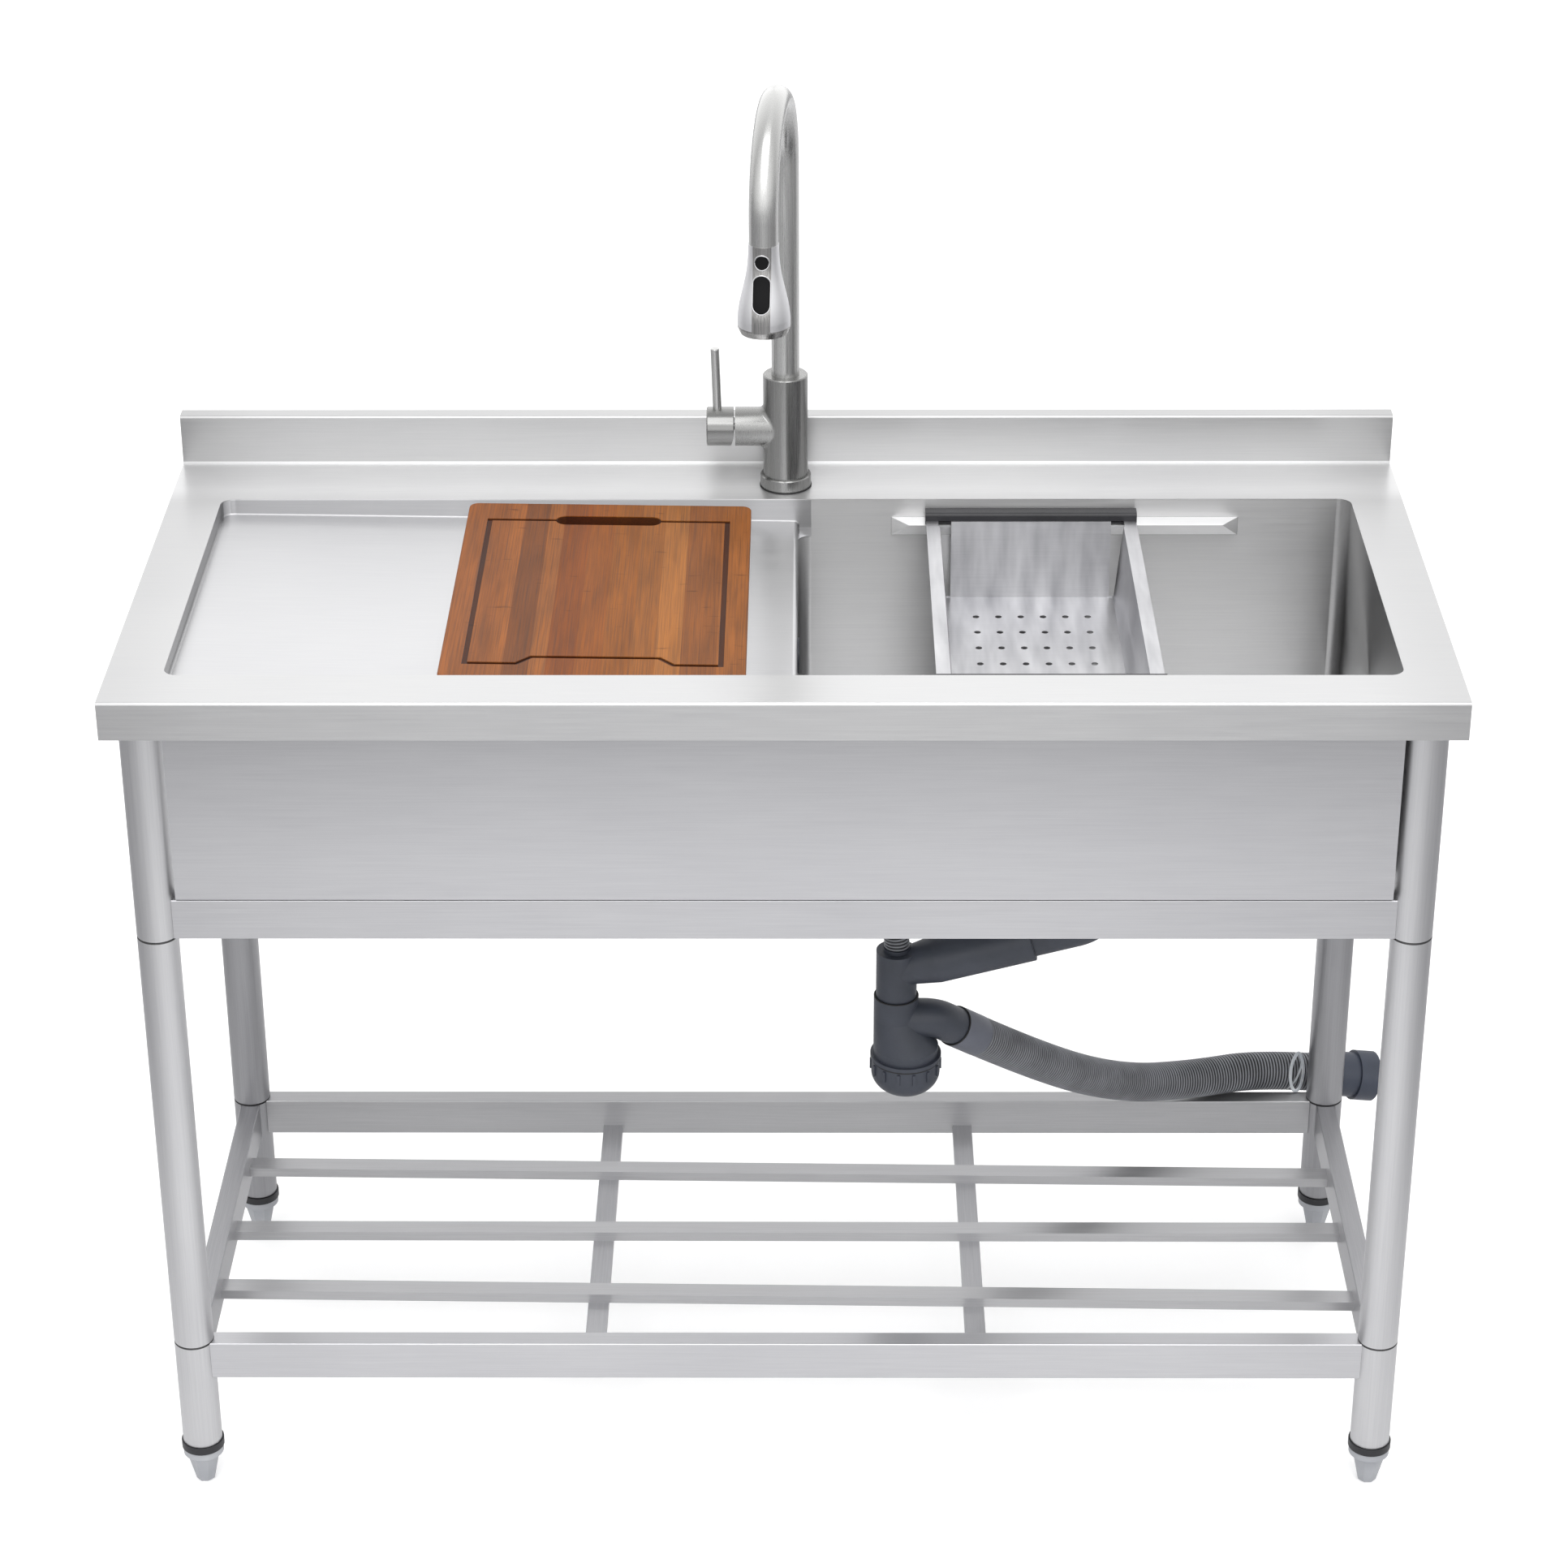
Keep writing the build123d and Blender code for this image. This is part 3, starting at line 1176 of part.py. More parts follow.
trap_bottle.part.label = "trap_bottle"
export_step(trap_bottle.part, "parts/trap_bottle.step")

# Trap cap: ribbed skirt and domed bottom
cap_top = flange_bottom - trap_seal
trap_cap_bore = bottle_thread_radius + slip_clearance
cap_skirt_bottom = cap_top - trap_cap_skirt
bottle_axis = Axis((bottle_x, trap_y, 0), (0, 0, 1))
cap_plane = Plane((bottle_x, trap_y, 0), x_dir=(1, 0, 0), z_dir=(0, -1, 0))
with BuildPart() as trap_cap:
    for radius, dome, mode in (
        (trap_cap_radius, trap_cap_dome, Mode.ADD),
        (trap_cap_bore, trap_cap_dome - trap_cap_wall, Mode.SUBTRACT),
    ):
        with BuildSketch(cap_plane):
            with Locations((0, cap_skirt_bottom)):
                Ellipse(radius, dome)
            with Locations((0, cap_skirt_bottom + dome)):
                Rectangle(2 * radius, 2 * dome, mode=Mode.SUBTRACT)
            with Locations((0, cap_skirt_bottom + trap_cap_skirt / 2)):
                Rectangle(2 * radius, trap_cap_skirt)
            split(bisect_by=Plane.YZ, keep=Keep.TOP)
        revolve(axis=bottle_axis, mode=mode)
    with BuildSketch(Plane((bottle_x, trap_y, cap_top - trap_rib_inset))):
        with PolarLocations(trap_cap_radius, trap_rib_count):
            Rectangle(2 * trap_rib_proud, trap_rib_width)
    extrude(amount=2 * trap_rib_inset - trap_cap_skirt)
trap_cap.part.label = "trap_cap"
export_step(trap_cap.part, "parts/trap_cap.step")

# Overflow elbow through the bowl's left wall, with a rim inside and a spigot below
overflow_x = bowl_left - sheet - overflow_collar - overflow_body_radius - overflow_spout_gap
overflow_spout_z = overflow_z - overflow_spout_drop
with BuildPart() as overflow_elbow:
    with BuildSketch(overflow_plane):
        Circle(overflow_rim_radius)
    extrude(amount=-overflow_rim)
    with BuildSketch(overflow_plane):
        Circle(overflow_hole_radius - slip_clearance)
    extrude(amount=sheet)
    with BuildSketch(overflow_plane.offset(sheet)):
        Circle(overflow_collar_radius)
    extrude(amount=overflow_collar)
    with BuildSketch(overflow_plane.offset(sheet + overflow_collar)):
        Circle(overflow_body_radius + sheet)
    extrude(amount=overflow_body_reach)
    with BuildSketch(Plane((overflow_x, trap_y, overflow_z))):
        Circle(overflow_body_radius)
    extrude(amount=-overflow_spout_drop)
    with BuildSketch(Plane((overflow_x, trap_y, overflow_spout_z))):
        Circle(overflow_spigot_radius)
    extrude(amount=-overflow_spigot_length)
    with BuildSketch(overflow_plane.offset(-overflow_rim)):
        with GridLocations(0, overflow_slot_pitch, 1, overflow_slots):
            SlotOverall(overflow_slot_length, overflow_slot_width)
    extrude(amount=overflow_rim + sheet + overflow_collar + overflow_body_reach / 2, mode=Mode.SUBTRACT)
    with BuildSketch(Plane((overflow_x, trap_y, overflow_z))):
        Circle(overflow_spigot_radius - sheet)
    extrude(amount=-overflow_spout_drop - overflow_spigot_length, mode=Mode.SUBTRACT)
overflow_elbow.part.label = "overflow_elbow"
export_step(overflow_elbow.part, "parts/overflow_elbow.step")


def corner_radii(points: list) -> list:
    """Largest bend at each corner of a route that its two runs allow."""
    radii = []
    for before, corner, after in zip(points, points[1:], points[2:]):
        turn = math.radians((corner - before).get_angle(after - corner))
        shorter = min((corner - before).length, (after - corner).length)
        radii.append(bend_share * shorter / math.tan(turn / 2))
    return radii


def ribbed_hose(points: list, steady: Vector, cuff: float, cuff_radius: float, crest: float, valley: float,
                bore: float, pitch: float) -> Part:
    """Corrugated tube along a route: a smooth cuff, then ribs of one pitch.

    The steady direction gives every section the same turn about the route.
    """
    radii = corner_radii(points)
    with BuildPart() as hose:
        with BuildLine() as route:
            FilletPolyline(*points, radius=radii)
        line = route.wires()[0]
        rib_count = int((line.length - cuff) / pitch)
        step = (line.length - cuff) / rib_count
        sections = [(0, cuff_radius), (cuff, cuff_radius)] if cuff else []
        for index in range(rib_count):
            start = cuff + index * step
            crest_start = start + rib_flank_share * step
            crest_end = crest_start + rib_crest_share * step
            valley_start = start + slip_clearance if cuff else start
            sections += [(valley_start, valley), (crest_start, crest), (crest_end, crest),
                         (crest_end + rib_flank_share * step, valley)]
        sections.append((line.length, valley))
        for distance, radius in sections:
            share = distance / line.length
            with BuildSketch(Plane(line @ share, x_dir=steady.cross(line % share), z_dir=line % share)):
                Circle(radius)
        loft(ruled=True)
        with BuildSketch(Plane(line @ 0, x_dir=steady.cross(line % 0), z_dir=line % 0)):
            Circle(bore)
        sweep(path=line, mode=Mode.SUBTRACT)
    flank_square = (crest**2 + crest * valley + valley**2) / 3
    valley_share = 1 - rib_crest_share - 2 * rib_flank_share
    rib_square = rib_crest_share * crest**2 + 2 * rib_flank_share * flank_square + valley_share * valley**2
    ribbed = line.length - cuff
    section_volume = math.pi * (cuff * cuff_radius**2 + ribbed * rib_square - line.length * bore**2)
    print(f"ribs {rib_count}, length {line.length:.1f}, bend radii {[round(radius) for radius in radii]}")
    print(f"volume {hose.part.volume:.0f}, section times length {section_volume:.0f}")
    return hose.part


# Overflow hose: from the overflow elbow down to the collar on the trap inlet
overflow_route = [
    Vector(overflow_x, trap_y, overflow_spout_z),
    Vector(overflow_x, trap_y, deck_height - overflow_first_bend_drop),
    Vector(trap_x, trap_y, deck_height - overflow_second_bend_drop),
    Vector(trap_x, trap_y, overflow_collar_top),
]
overflow_hose = ribbed_hose(overflow_route, Vector(0, 1, 0), 0, 0, overflow_crest_radius,
                            overflow_valley_radius, overflow_bore_radius, overflow_rib_pitch)
overflow_hose.label = "overflow_hose"
export_step(overflow_hose, "parts/overflow_hose.step")

# Waste hose: from the trap outlet over the back shelf rail and behind the rear leg
waste_route = [outlet_end, outlet_end + Vector(*outlet_heading).normalized() * waste_first_run]
waste_route += [Vector(*point) for point in waste_points]
waste_hose = ribbed_hose(waste_route, Vector(0, 0, 1), waste_cuff_length, waste_cuff_radius,
                         waste_crest_radius, waste_valley_radius, waste_bore_radius, waste_rib_pitch)
waste_hose.label = "waste_hose"
export_step(waste_hose, "parts/waste_hose.step")

# Waste connector on the hose's far end
hose_heading = (waste_route[-1] - waste_route[-2]).normalized()
hose_end_plane = Plane(waste_route[-1], x_dir=Vector(0, 0, 1).cross(hose_heading), z_dir=hose_heading)
with BuildPart() as hose_end:
    with BuildSketch(hose_end_plane):
        Circle(hose_end_radius)
    extrude(amount=hose_end_length)
    with BuildSketch(hose_end_plane.offset(hose_end_length)):
        Circle(hose_socket_radius)
    extrude(amount=hose_socket_length)
    with BuildSketch(hose_end_plane.offset(-hose_spigot_length)):
        Circle(waste_bore_radius - slip_clearance)
    extrude(amount=hose_spigot_length)
    with BuildSketch(hose_end_plane.offset(-hose_spigot_length)):
        Circle(outlet_bore_radius)
    extrude(amount=hose_spigot_length + hose_end_length, mode=Mode.SUBTRACT)
    with BuildSketch(hose_end_plane.offset(hose_end_length)):
        Circle(hose_socket_bore)
    extrude(amount=hose_socket_length, mode=Mode.SUBTRACT)
hose_end.part.label = "hose_end"
export_step(hose_end.part, "parts/hose_end.step")

# Plastic tie: a loop that leans on the front of the hose
tie_facing = Vector(0, -math.cos(math.radians(tie_tilt)), math.sin(math.radians(tie_tilt)))
tie_facing = (tie_facing - hose_heading * tie_facing.dot(hose_heading)).normalized()
tie_centre = waste_route[-1] - hose_heading * tie_along + tie_facing * (waste_crest_radius + tie_clearance)
with BuildPart() as hose_tie:
    with BuildSketch(Plane(tie_centre, x_dir=tie_facing.cross(hose_heading), z_dir=tie_facing)):
        SlotOverall(tie_length, tie_width)
        SlotOverall(tie_length - 2 * tie_band, tie_width - 2 * tie_band, mode=Mode.SUBTRACT)
    extrude(amount=tie_thickness)
hose_tie.part.label = "hose_tie"
export_step(hose_tie.part, "parts/hose_tie.step")
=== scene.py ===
"""Freestanding utility sink: finishes, hoses, tie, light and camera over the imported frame."""

from __future__ import annotations

import json
import logging
import math
from dataclasses import dataclass
from enum import Enum
from typing import Any, Sequence

import bpy
from bpy.types import Material, Node, NodeSocket, NodeTree, Object
from mathutils import Matrix, Vector

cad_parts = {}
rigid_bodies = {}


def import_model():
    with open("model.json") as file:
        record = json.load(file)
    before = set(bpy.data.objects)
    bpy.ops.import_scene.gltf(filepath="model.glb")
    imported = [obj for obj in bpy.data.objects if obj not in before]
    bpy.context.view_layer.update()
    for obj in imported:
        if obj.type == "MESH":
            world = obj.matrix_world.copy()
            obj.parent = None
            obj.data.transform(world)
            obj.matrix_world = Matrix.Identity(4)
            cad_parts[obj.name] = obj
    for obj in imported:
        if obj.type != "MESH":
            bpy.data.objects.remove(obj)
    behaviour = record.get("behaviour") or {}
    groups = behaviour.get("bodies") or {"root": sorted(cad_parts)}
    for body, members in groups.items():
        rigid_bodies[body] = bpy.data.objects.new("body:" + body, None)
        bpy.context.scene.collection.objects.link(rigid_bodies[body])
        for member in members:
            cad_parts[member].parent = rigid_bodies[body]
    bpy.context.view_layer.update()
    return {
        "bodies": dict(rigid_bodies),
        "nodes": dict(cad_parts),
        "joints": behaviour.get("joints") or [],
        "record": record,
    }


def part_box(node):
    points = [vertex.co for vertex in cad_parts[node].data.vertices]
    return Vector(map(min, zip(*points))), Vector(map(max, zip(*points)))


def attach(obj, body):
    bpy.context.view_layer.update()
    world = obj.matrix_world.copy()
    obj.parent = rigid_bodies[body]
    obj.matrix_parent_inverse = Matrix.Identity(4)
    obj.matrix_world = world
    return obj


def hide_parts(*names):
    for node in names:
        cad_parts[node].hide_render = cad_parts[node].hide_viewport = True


Pair = tuple[float, float]
Triple = tuple[float, float, float]
Faces = list[tuple[int, ...]]
Sockets = dict[str | int, Any]
Finishes = dict[str, Material]

LOG = logging.getLogger("utility_sink")
MM = 0.001
# Height of each point of a hose between valley and crest; the hose's material paints shade into the valleys
RIB_HEIGHT = "rib_height"
CORNERS = ("front_left", "front_right", "back_left", "back_right")
# Half the height of the dark line where two lengths of a leg meet
SEAM_HALF = 0.0011
# Most of a noise lies between these two values
NOISE_LOW, NOISE_HIGH = 0.3, 0.7
NOISE_RANGE = {"From Min": NOISE_LOW, "From Max": NOISE_HIGH}
PAPER_ROUGHNESS = 0.9
MULTIPLY = {"data_type": "RGBA", "blend_type": "MULTIPLY"}
# Places that several pieces share: the spray head's axis, the way it faces, and the waste hose's two ends
HEAD_AXIS = (-0.018392, 0.042028)
HEAD_FACING = (-0.111469, -0.993768)
WASTE_START = (0.166836, -0.010503, 0.381144)
WASTE_END = (0.579, 0.2455, 0.168)
SPLINE_STEPS = 48
# Rounded ends of a hose's cuff: distance from its start or end, and how much slimmer it is there, in mm
CUFF_START = ((0.0, 0.7), (0.3, 0.2), (0.9, 0.0))
CUFF_FINISH = ((1.0, 0.0), (0.4, 0.2), (0.0, 0.9))
# One rib of a hose: share of its pitch, and share of its height
RIB_WAVE = (
    (0.06, 0.0), (0.2, 0.3), (0.28, 0.8), (0.38, 1.0), (0.62, 1.0), (0.72, 0.8), (0.8, 0.3), (0.94, 0.0),
)


class Grain(Enum):
    """Length of a brush mark along X, Y and Z in millimetres, and how reflections stretch on it."""

    ALONG_X = ((70.0, 1.1, 1.1), "X", 0.0)
    ALONG_Y = ((1.1, 70.0, 1.1), "Y", 0.0)
    ALONG_Z = ((1.2, 1.2, 120.0), "Z", 0.0)
    ROUND_Z = ((30.0, 30.0, 1.0), "Z", 0.25)
    UPRIGHT = ((0.9, 0.9, 80.0), "Z", 0.25)
    SIDEWAYS = ((50.0, 0.9, 0.9), "X", 0.25)

    @property
    def lengths_mm(self) -> Triple:
        """Length of one brush mark along each axis."""
        return self.value[0]

    @property
    def tangent_axis(self) -> str:
        """Axis that the stretched reflections turn round."""
        return self.value[1]

    @property
    def turn(self) -> float:
        """Share of a full turn between that direction and the stretch."""
        return self.value[2]


def linear(colour: str) -> tuple[float, float, float, float]:
    """Turns an sRGB hex colour to linear light.

    Args:
        colour: Six hex digits after a hash mark.

    Returns:
        Red, green, blue and an alpha of one.
    """
    shares = [int(colour[i : i + 2], 16) / 255 for i in (1, 3, 5)]
    light = [s / 12.92 if s <= 0.04045 else ((s + 0.055) / 1.055) ** 2.4 for s in shares]
    return light[0], light[1], light[2], 1.0


def add_node(
    tree: NodeTree,
    kind: str,
    settings: dict[str, Any] | None = None,
    inputs: Sockets | None = None,
    stops: Sequence[tuple[float, str]] = (),
) -> Node:
    """Adds one shader node with its settings, values and links.

    Args:
        tree: The node tree that gets the node.
        kind: The node's type name, after the words that all these types start with.
        settings: Attributes of the node itself.
        inputs: Input sockets by name or index. Each gets a value, a link from an output socket, or a link
            from the first output that another node has in use.
        stops: Place and sRGB hex colour of each stop, where the node is a colour ramp.

    Returns:
        The new node.
    """
    node = tree.nodes.new("ShaderNode" + kind)
    for name, value in (settings or {}).items():
        setattr(node, name, value)
    for key, value in (inputs or {}).items():
        if isinstance(value, Node):
            value = next(output for output in value.outputs if output.enabled)
        if isinstance(value, NodeSocket):
            tree.links.new(value, node.inputs[key])
        else:
            node.inputs[key].default_value = value
    if stops:
        elements = node.color_ramp.elements
        while len(elements) < len(stops):
            elements.new(0.5)
        for element, (place, colour) in zip(elements, stops):
            element.position = place
            element.color = linear(colour)
    return node


def start_material(name: str) -> tuple[Material, NodeTree]:
    """Makes an empty node material.

    Args:
        name: The material's name.

    Returns:
        The material and its node tree.
    """
    material = bpy.data.materials.new(name)
    material.use_nodes = True
    material.node_tree.nodes.clear()
    return material, material.node_tree


def end_material(tree: NodeTree, inputs: Sockets) -> None:
    """Ends a material with its shader and its output.

    Args:
        tree: The material's node tree.
        inputs: The shader's values and links.
    """
    shader = add_node(tree, "BsdfPrincipled", None, inputs)
    add_node(tree, "OutputMaterial", None, {"Surface": shader})


def place_axes(tree: NodeTree) -> Node:
    """Splits the place on a piece, in metres, into X, Y and Z.

    Args:
        tree: The node tree that gets the nodes.

    Returns:
        The node with the three outputs.
    """
    place = add_node(tree, "TexCoord")
    return add_node(tree, "SeparateXYZ", None, {"Vector": place.outputs["Object"]})


def stretched_noise(tree: NodeTree, lengths_mm: Sequence[float], detail: float) -> Node:
    """Noise whose marks have a real length along each axis.

    Args:
        tree: The node tree that gets the noise.
        lengths_mm: Length of a mark along X, Y and Z.
        detail: Number of finer layers.

    Returns:
        The noise.
    """
    place = add_node(tree, "TexCoord")
    scale = tuple(1.0 / (length * MM) for length in lengths_mm)
    mapped = add_node(tree, "Mapping", None, {"Vector": place.outputs["Object"], "Scale": scale})
    return add_node(
        tree, "TexNoise", None, {"Vector": mapped, "Scale": 1.0, "Detail": detail, "Roughness": 0.55}
    )


def inside_box(tree: NodeTree, bounds: Sequence[tuple[str, float, float]]) -> Node:
    """Tells which part of a piece lies between bounds.

    Args:
        tree: The node tree that gets the nodes.
        bounds: Axis, lowest and highest place in metres.

    Returns:
        A node that gives one inside all the bounds and zero outside.
    """
    axes = place_axes(tree)
    mask: Node | float = 1.0
    for axis, low, high in bounds:
        inside = add_node(
            tree, "Math", {"operation": "COMPARE"},
            {0: axes.outputs[axis], 1: 0.5 * (low + high), 2: 0.5 * (high - low)},
        )
        mask = add_node(tree, "Math", {"operation": "MULTIPLY"}, {0: inside, 1: mask})
    return mask


@dataclass(frozen=True)
class SatinSteel:
    """Metal that was belt-brushed: fine lines one way, with soft reflections stretched across them.

    The real lines are a few hundredths of a millimetre wide, so they are drawn coarse enough to show.
    """

    name: str
    light: str
    dark: str
    roughness: float
    grain: Grain
    stretch: float = 0.5
    bump_mm: float = 0.0004
    cloud_mm: Triple = (260.0, 260.0, 260.0)
    cloud_share: float = 0.4
    rough_spread: float = 0.03

    def material(self) -> Material:
        """Builds the node material.

        Returns:
            The material.
        """
        material, tree = start_material(self.name)
        lines = stretched_noise(tree, self.grain.lengths_mm, 4.0)
        clouds = stretched_noise(tree, self.cloud_mm, 2.0)
        share = {"Factor": self.cloud_share, "A": lines, "B": clouds}
        tone = add_node(tree, "Mix", {"data_type": "FLOAT"}, share)
        stops = ((NOISE_LOW, self.dark), (NOISE_HIGH, self.light))
        rough = {"To Min": self.roughness - self.rough_spread, "To Max": self.roughness + self.rough_spread}
        bump = {"Strength": 1.0, "Distance": self.bump_mm * MM, "Height": lines}
        around = {"direction_type": "RADIAL", "axis": self.grain.tangent_axis}
        end_material(tree, {
            "Base Color": add_node(tree, "ValToRGB", None, {"Fac": tone}, stops),
            "Roughness": add_node(tree, "MapRange", None, {"Value": lines, **NOISE_RANGE, **rough}),
            "Normal": add_node(tree, "Bump", None, bump),
            "Tangent": add_node(tree, "Tangent", around),
            "Metallic": 1.0,
            "Anisotropic": self.stretch,
            "Anisotropic Rotation": self.grain.turn,
        })
        return material


@dataclass(frozen=True)
class Zone:
    """Part of a sheet drawn paler or darker: painted light and painted shade where the sheet is unevenly lit,
    and the legs' dark seams.
    """

    bounds: tuple[tuple[str, float, float], ...]
    tone: float


@dataclass(frozen=True)
class Fade:
    """Slow change of tone along an axis, between two places in metres."""

    axis: str
    place: Pair
    tone: Pair


@dataclass(frozen=True)
class ZonedSteel:
    """Brushed sheet with zones and fades of tone: painted light and painted shade where the sheet is unevenly
    lit, and the legs' dark seams.
    """

    steel: SatinSteel
    zones: tuple[Zone, ...]
    fades: tuple[Fade, ...] = ()

    def material(self) -> Material:
        """Builds the node material.

        Returns:
            The material.
        """
        material = self.steel.material()
        tree = material.node_tree
        shader = next(node for node in tree.nodes if node.type == "BSDF_PRINCIPLED")
        brushed = shader.inputs["Base Color"].links[0].from_node
        axes = place_axes(tree)
        tones = []
        for fade in self.fades:
            smooth = {"interpolation_type": "SMOOTHSTEP"}
            span = {"From Min": fade.place[0], "From Max": fade.place[1]}
            reach = {"To Min": fade.tone[0], "To Max": fade.tone[1]}
            along = {"Value": axes.outputs[fade.axis], **span, **reach}
            tones.append(add_node(tree, "MapRange", smooth, along))
        for zone in self.zones:
            inside = {"Value": inside_box(tree, zone.bounds), "To Min": 1.0, "To Max": zone.tone}
            tones.append(add_node(tree, "MapRange", None, inside))
        for tone in tones:
            brushed = add_node(tree, "Mix", MULTIPLY, {"Factor": 1.0, "A": brushed, "B": tone})
        tree.links.new(brushed.outputs["Result"], shader.inputs["Base Color"])
        return material


@dataclass(frozen=True)
class MouldedPlastic:
    """Injection-moulded plastic or rubber: even colour, a fine eroded texture and soft flow clouds."""

    name: str
    light: str
    dark: str
    roughness: float
    texture_mm: float = 1.2
    bump_mm: float = 0.03
    ior: float = 1.49
    specular: float = 0.5

    def material(self) -> Material:
        """Builds the node material.

        Returns:
            The material.
        """
        material, tree = start_material(self.name)
        specks = stretched_noise(tree, (self.texture_mm,) * 3, 2.0)
        clouds = stretched_noise(tree, (45.0, 45.0, 45.0), 3.0)
        stops = ((NOISE_LOW, self.dark), (NOISE_HIGH, self.light))
        rough = {"To Min": self.roughness - 0.05, "To Max": self.roughness + 0.06}
        bump = {"Strength": 0.6, "Distance": self.bump_mm * MM, "Height": specks}
        end_material(tree, {
            "Base Color": add_node(tree, "ValToRGB", None, {"Fac": clouds}, stops),
            "Roughness": add_node(tree, "MapRange", None, {"Value": specks, **NOISE_RANGE, **rough}),
            "Normal": add_node(tree, "Bump", None, bump),
            "IOR": self.ior,
            "Specular IOR Level": self.specular,
        })
        return material


@dataclass(frozen=True)
class RibbedPlastic:
    """Blow-moulded polypropylene: grey crests, painted shade in the valleys between the ribs, and soft clouds
    of dust.
    """

    name: str
    crest: str
    valley: str
    roughness: float
    dust: str = "#D8D8D8"
    ior: float = 1.49

    def material(self) -> Material:
        """Builds the node material.

        Returns:
            The material.
        """
        material, tree = start_material(self.name)
        height = add_node(tree, "Attribute", {"attribute_name": RIB_HEIGHT}).outputs["Fac"]
        clouds = stretched_noise(tree, (30.0, 30.0, 30.0), 3.0)
        # Painted shade: the valleys are drawn dark, the crests in the hose's grey
        ribs = add_node(tree, "ValToRGB", None, {"Fac": height}, ((0.15, self.valley), (0.9, self.crest)))
        shade = add_node(tree, "ValToRGB", None, {"Fac": clouds}, ((NOISE_LOW, self.dust), (0.65, "#FFFFFF")))
        rough = {"To Min": self.roughness - 0.05, "To Max": self.roughness + 0.05}
        end_material(tree, {
            "Base Color": add_node(tree, "Mix", MULTIPLY, {"Factor": 1.0, "A": ribs, "B": shade}),
            "Roughness": add_node(tree, "MapRange", None, {"Value": clouds, **NOISE_RANGE, **rough}),
            "IOR": self.ior,
        })
        return material


@dataclass(frozen=True)
class OiledStrips:
    """Carbonised bamboo, glued in strips and oiled: each strip has its own tone, straight fibres and nodes.

    The real fibres are about a third of a millimetre wide, so they are drawn coarse enough to show.
    """

    name: str
    left: float
    width: float
    strips: tuple[tuple[float, str], ...]
    fibre_mm: float
    roughness: float
    fall: float
    groove_below: float
    groove_in: tuple[tuple[str, float, float], ...]
    groove_tint: str = "#8C7C72"
    bump_mm: float = 0.08
    ior: float = 1.5
    specular: float = 0.14

    def groove(self, tree: NodeTree, axes: Node) -> Node:
        """Tells the juice groove and the grip, which are drawn darker, from the top of the board.

        Args:
            tree: The node tree that gets the nodes.
            axes: The node that splits the place on the board.

        Returns:
            A node that gives one in the groove and zero elsewhere.
        """
        sloped = {0: axes.outputs["X"], 1: self.fall, 2: axes.outputs["Z"]}
        level = add_node(tree, "Math", {"operation": "MULTIPLY_ADD"}, sloped)
        below = add_node(tree, "Math", {"operation": "LESS_THAN"}, {0: level, 1: self.groove_below})
        within = inside_box(tree, self.groove_in)
        return add_node(tree, "Math", {"operation": "MULTIPLY"}, {0: below, 1: within})

    def material(self) -> Material:
        """Builds the node material.

        Returns:
            The material.
        """
        material, tree = start_material(self.name)
        axes = place_axes(tree)
        span = {"From Min": self.left, "From Max": self.left + self.width}
        across = add_node(tree, "MapRange", None, {"Value": axes.outputs["X"], **span})
        colour = add_node(tree, "ValToRGB", None, {"Fac": across}, self.strips)
        colour.color_ramp.interpolation = "CONSTANT"
        fibres = stretched_noise(tree, (self.fibre_mm, 90.0, self.fibre_mm), 5.0)
        clouds = stretched_noise(tree, (22.0, 120.0, 22.0), 3.0)
        knots = stretched_noise(tree, (34.0, 7.0, 30.0), 2.0)
        layers = (
            (0.85, fibres, ((0.25, "#A2A2A2"), (0.6, "#FFFFFF"))),
            (0.36, clouds, ((0.3, "#8E8884"), (0.62, "#FFFFFF"))),
            (0.8, knots, ((0.68, "#FFFFFF"), (0.8, "#6B5A50"))),
        )
        for share, noise, stops in layers:
            tint = add_node(tree, "ValToRGB", None, {"Fac": noise}, stops)
            colour = add_node(tree, "Mix", MULTIPLY, {"Factor": share, "A": colour, "B": tint})
        groove_darkened = {"Factor": self.groove(tree, axes), "A": colour, "B": linear(self.groove_tint)}
        rough = {"To Min": self.roughness - 0.06, "To Max": self.roughness + 0.08}
        bump = {"Strength": 0.4, "Distance": self.bump_mm * MM, "Height": fibres}
        end_material(tree, {
            "Base Color": add_node(tree, "Mix", MULTIPLY, groove_darkened),
            "Roughness": add_node(tree, "MapRange", None, {"Value": fibres, **NOISE_RANGE, **rough}),
            "Normal": add_node(tree, "Bump", None, bump),
            "IOR": self.ior,
            "Specular IOR Level": self.specular,
        })
        return material


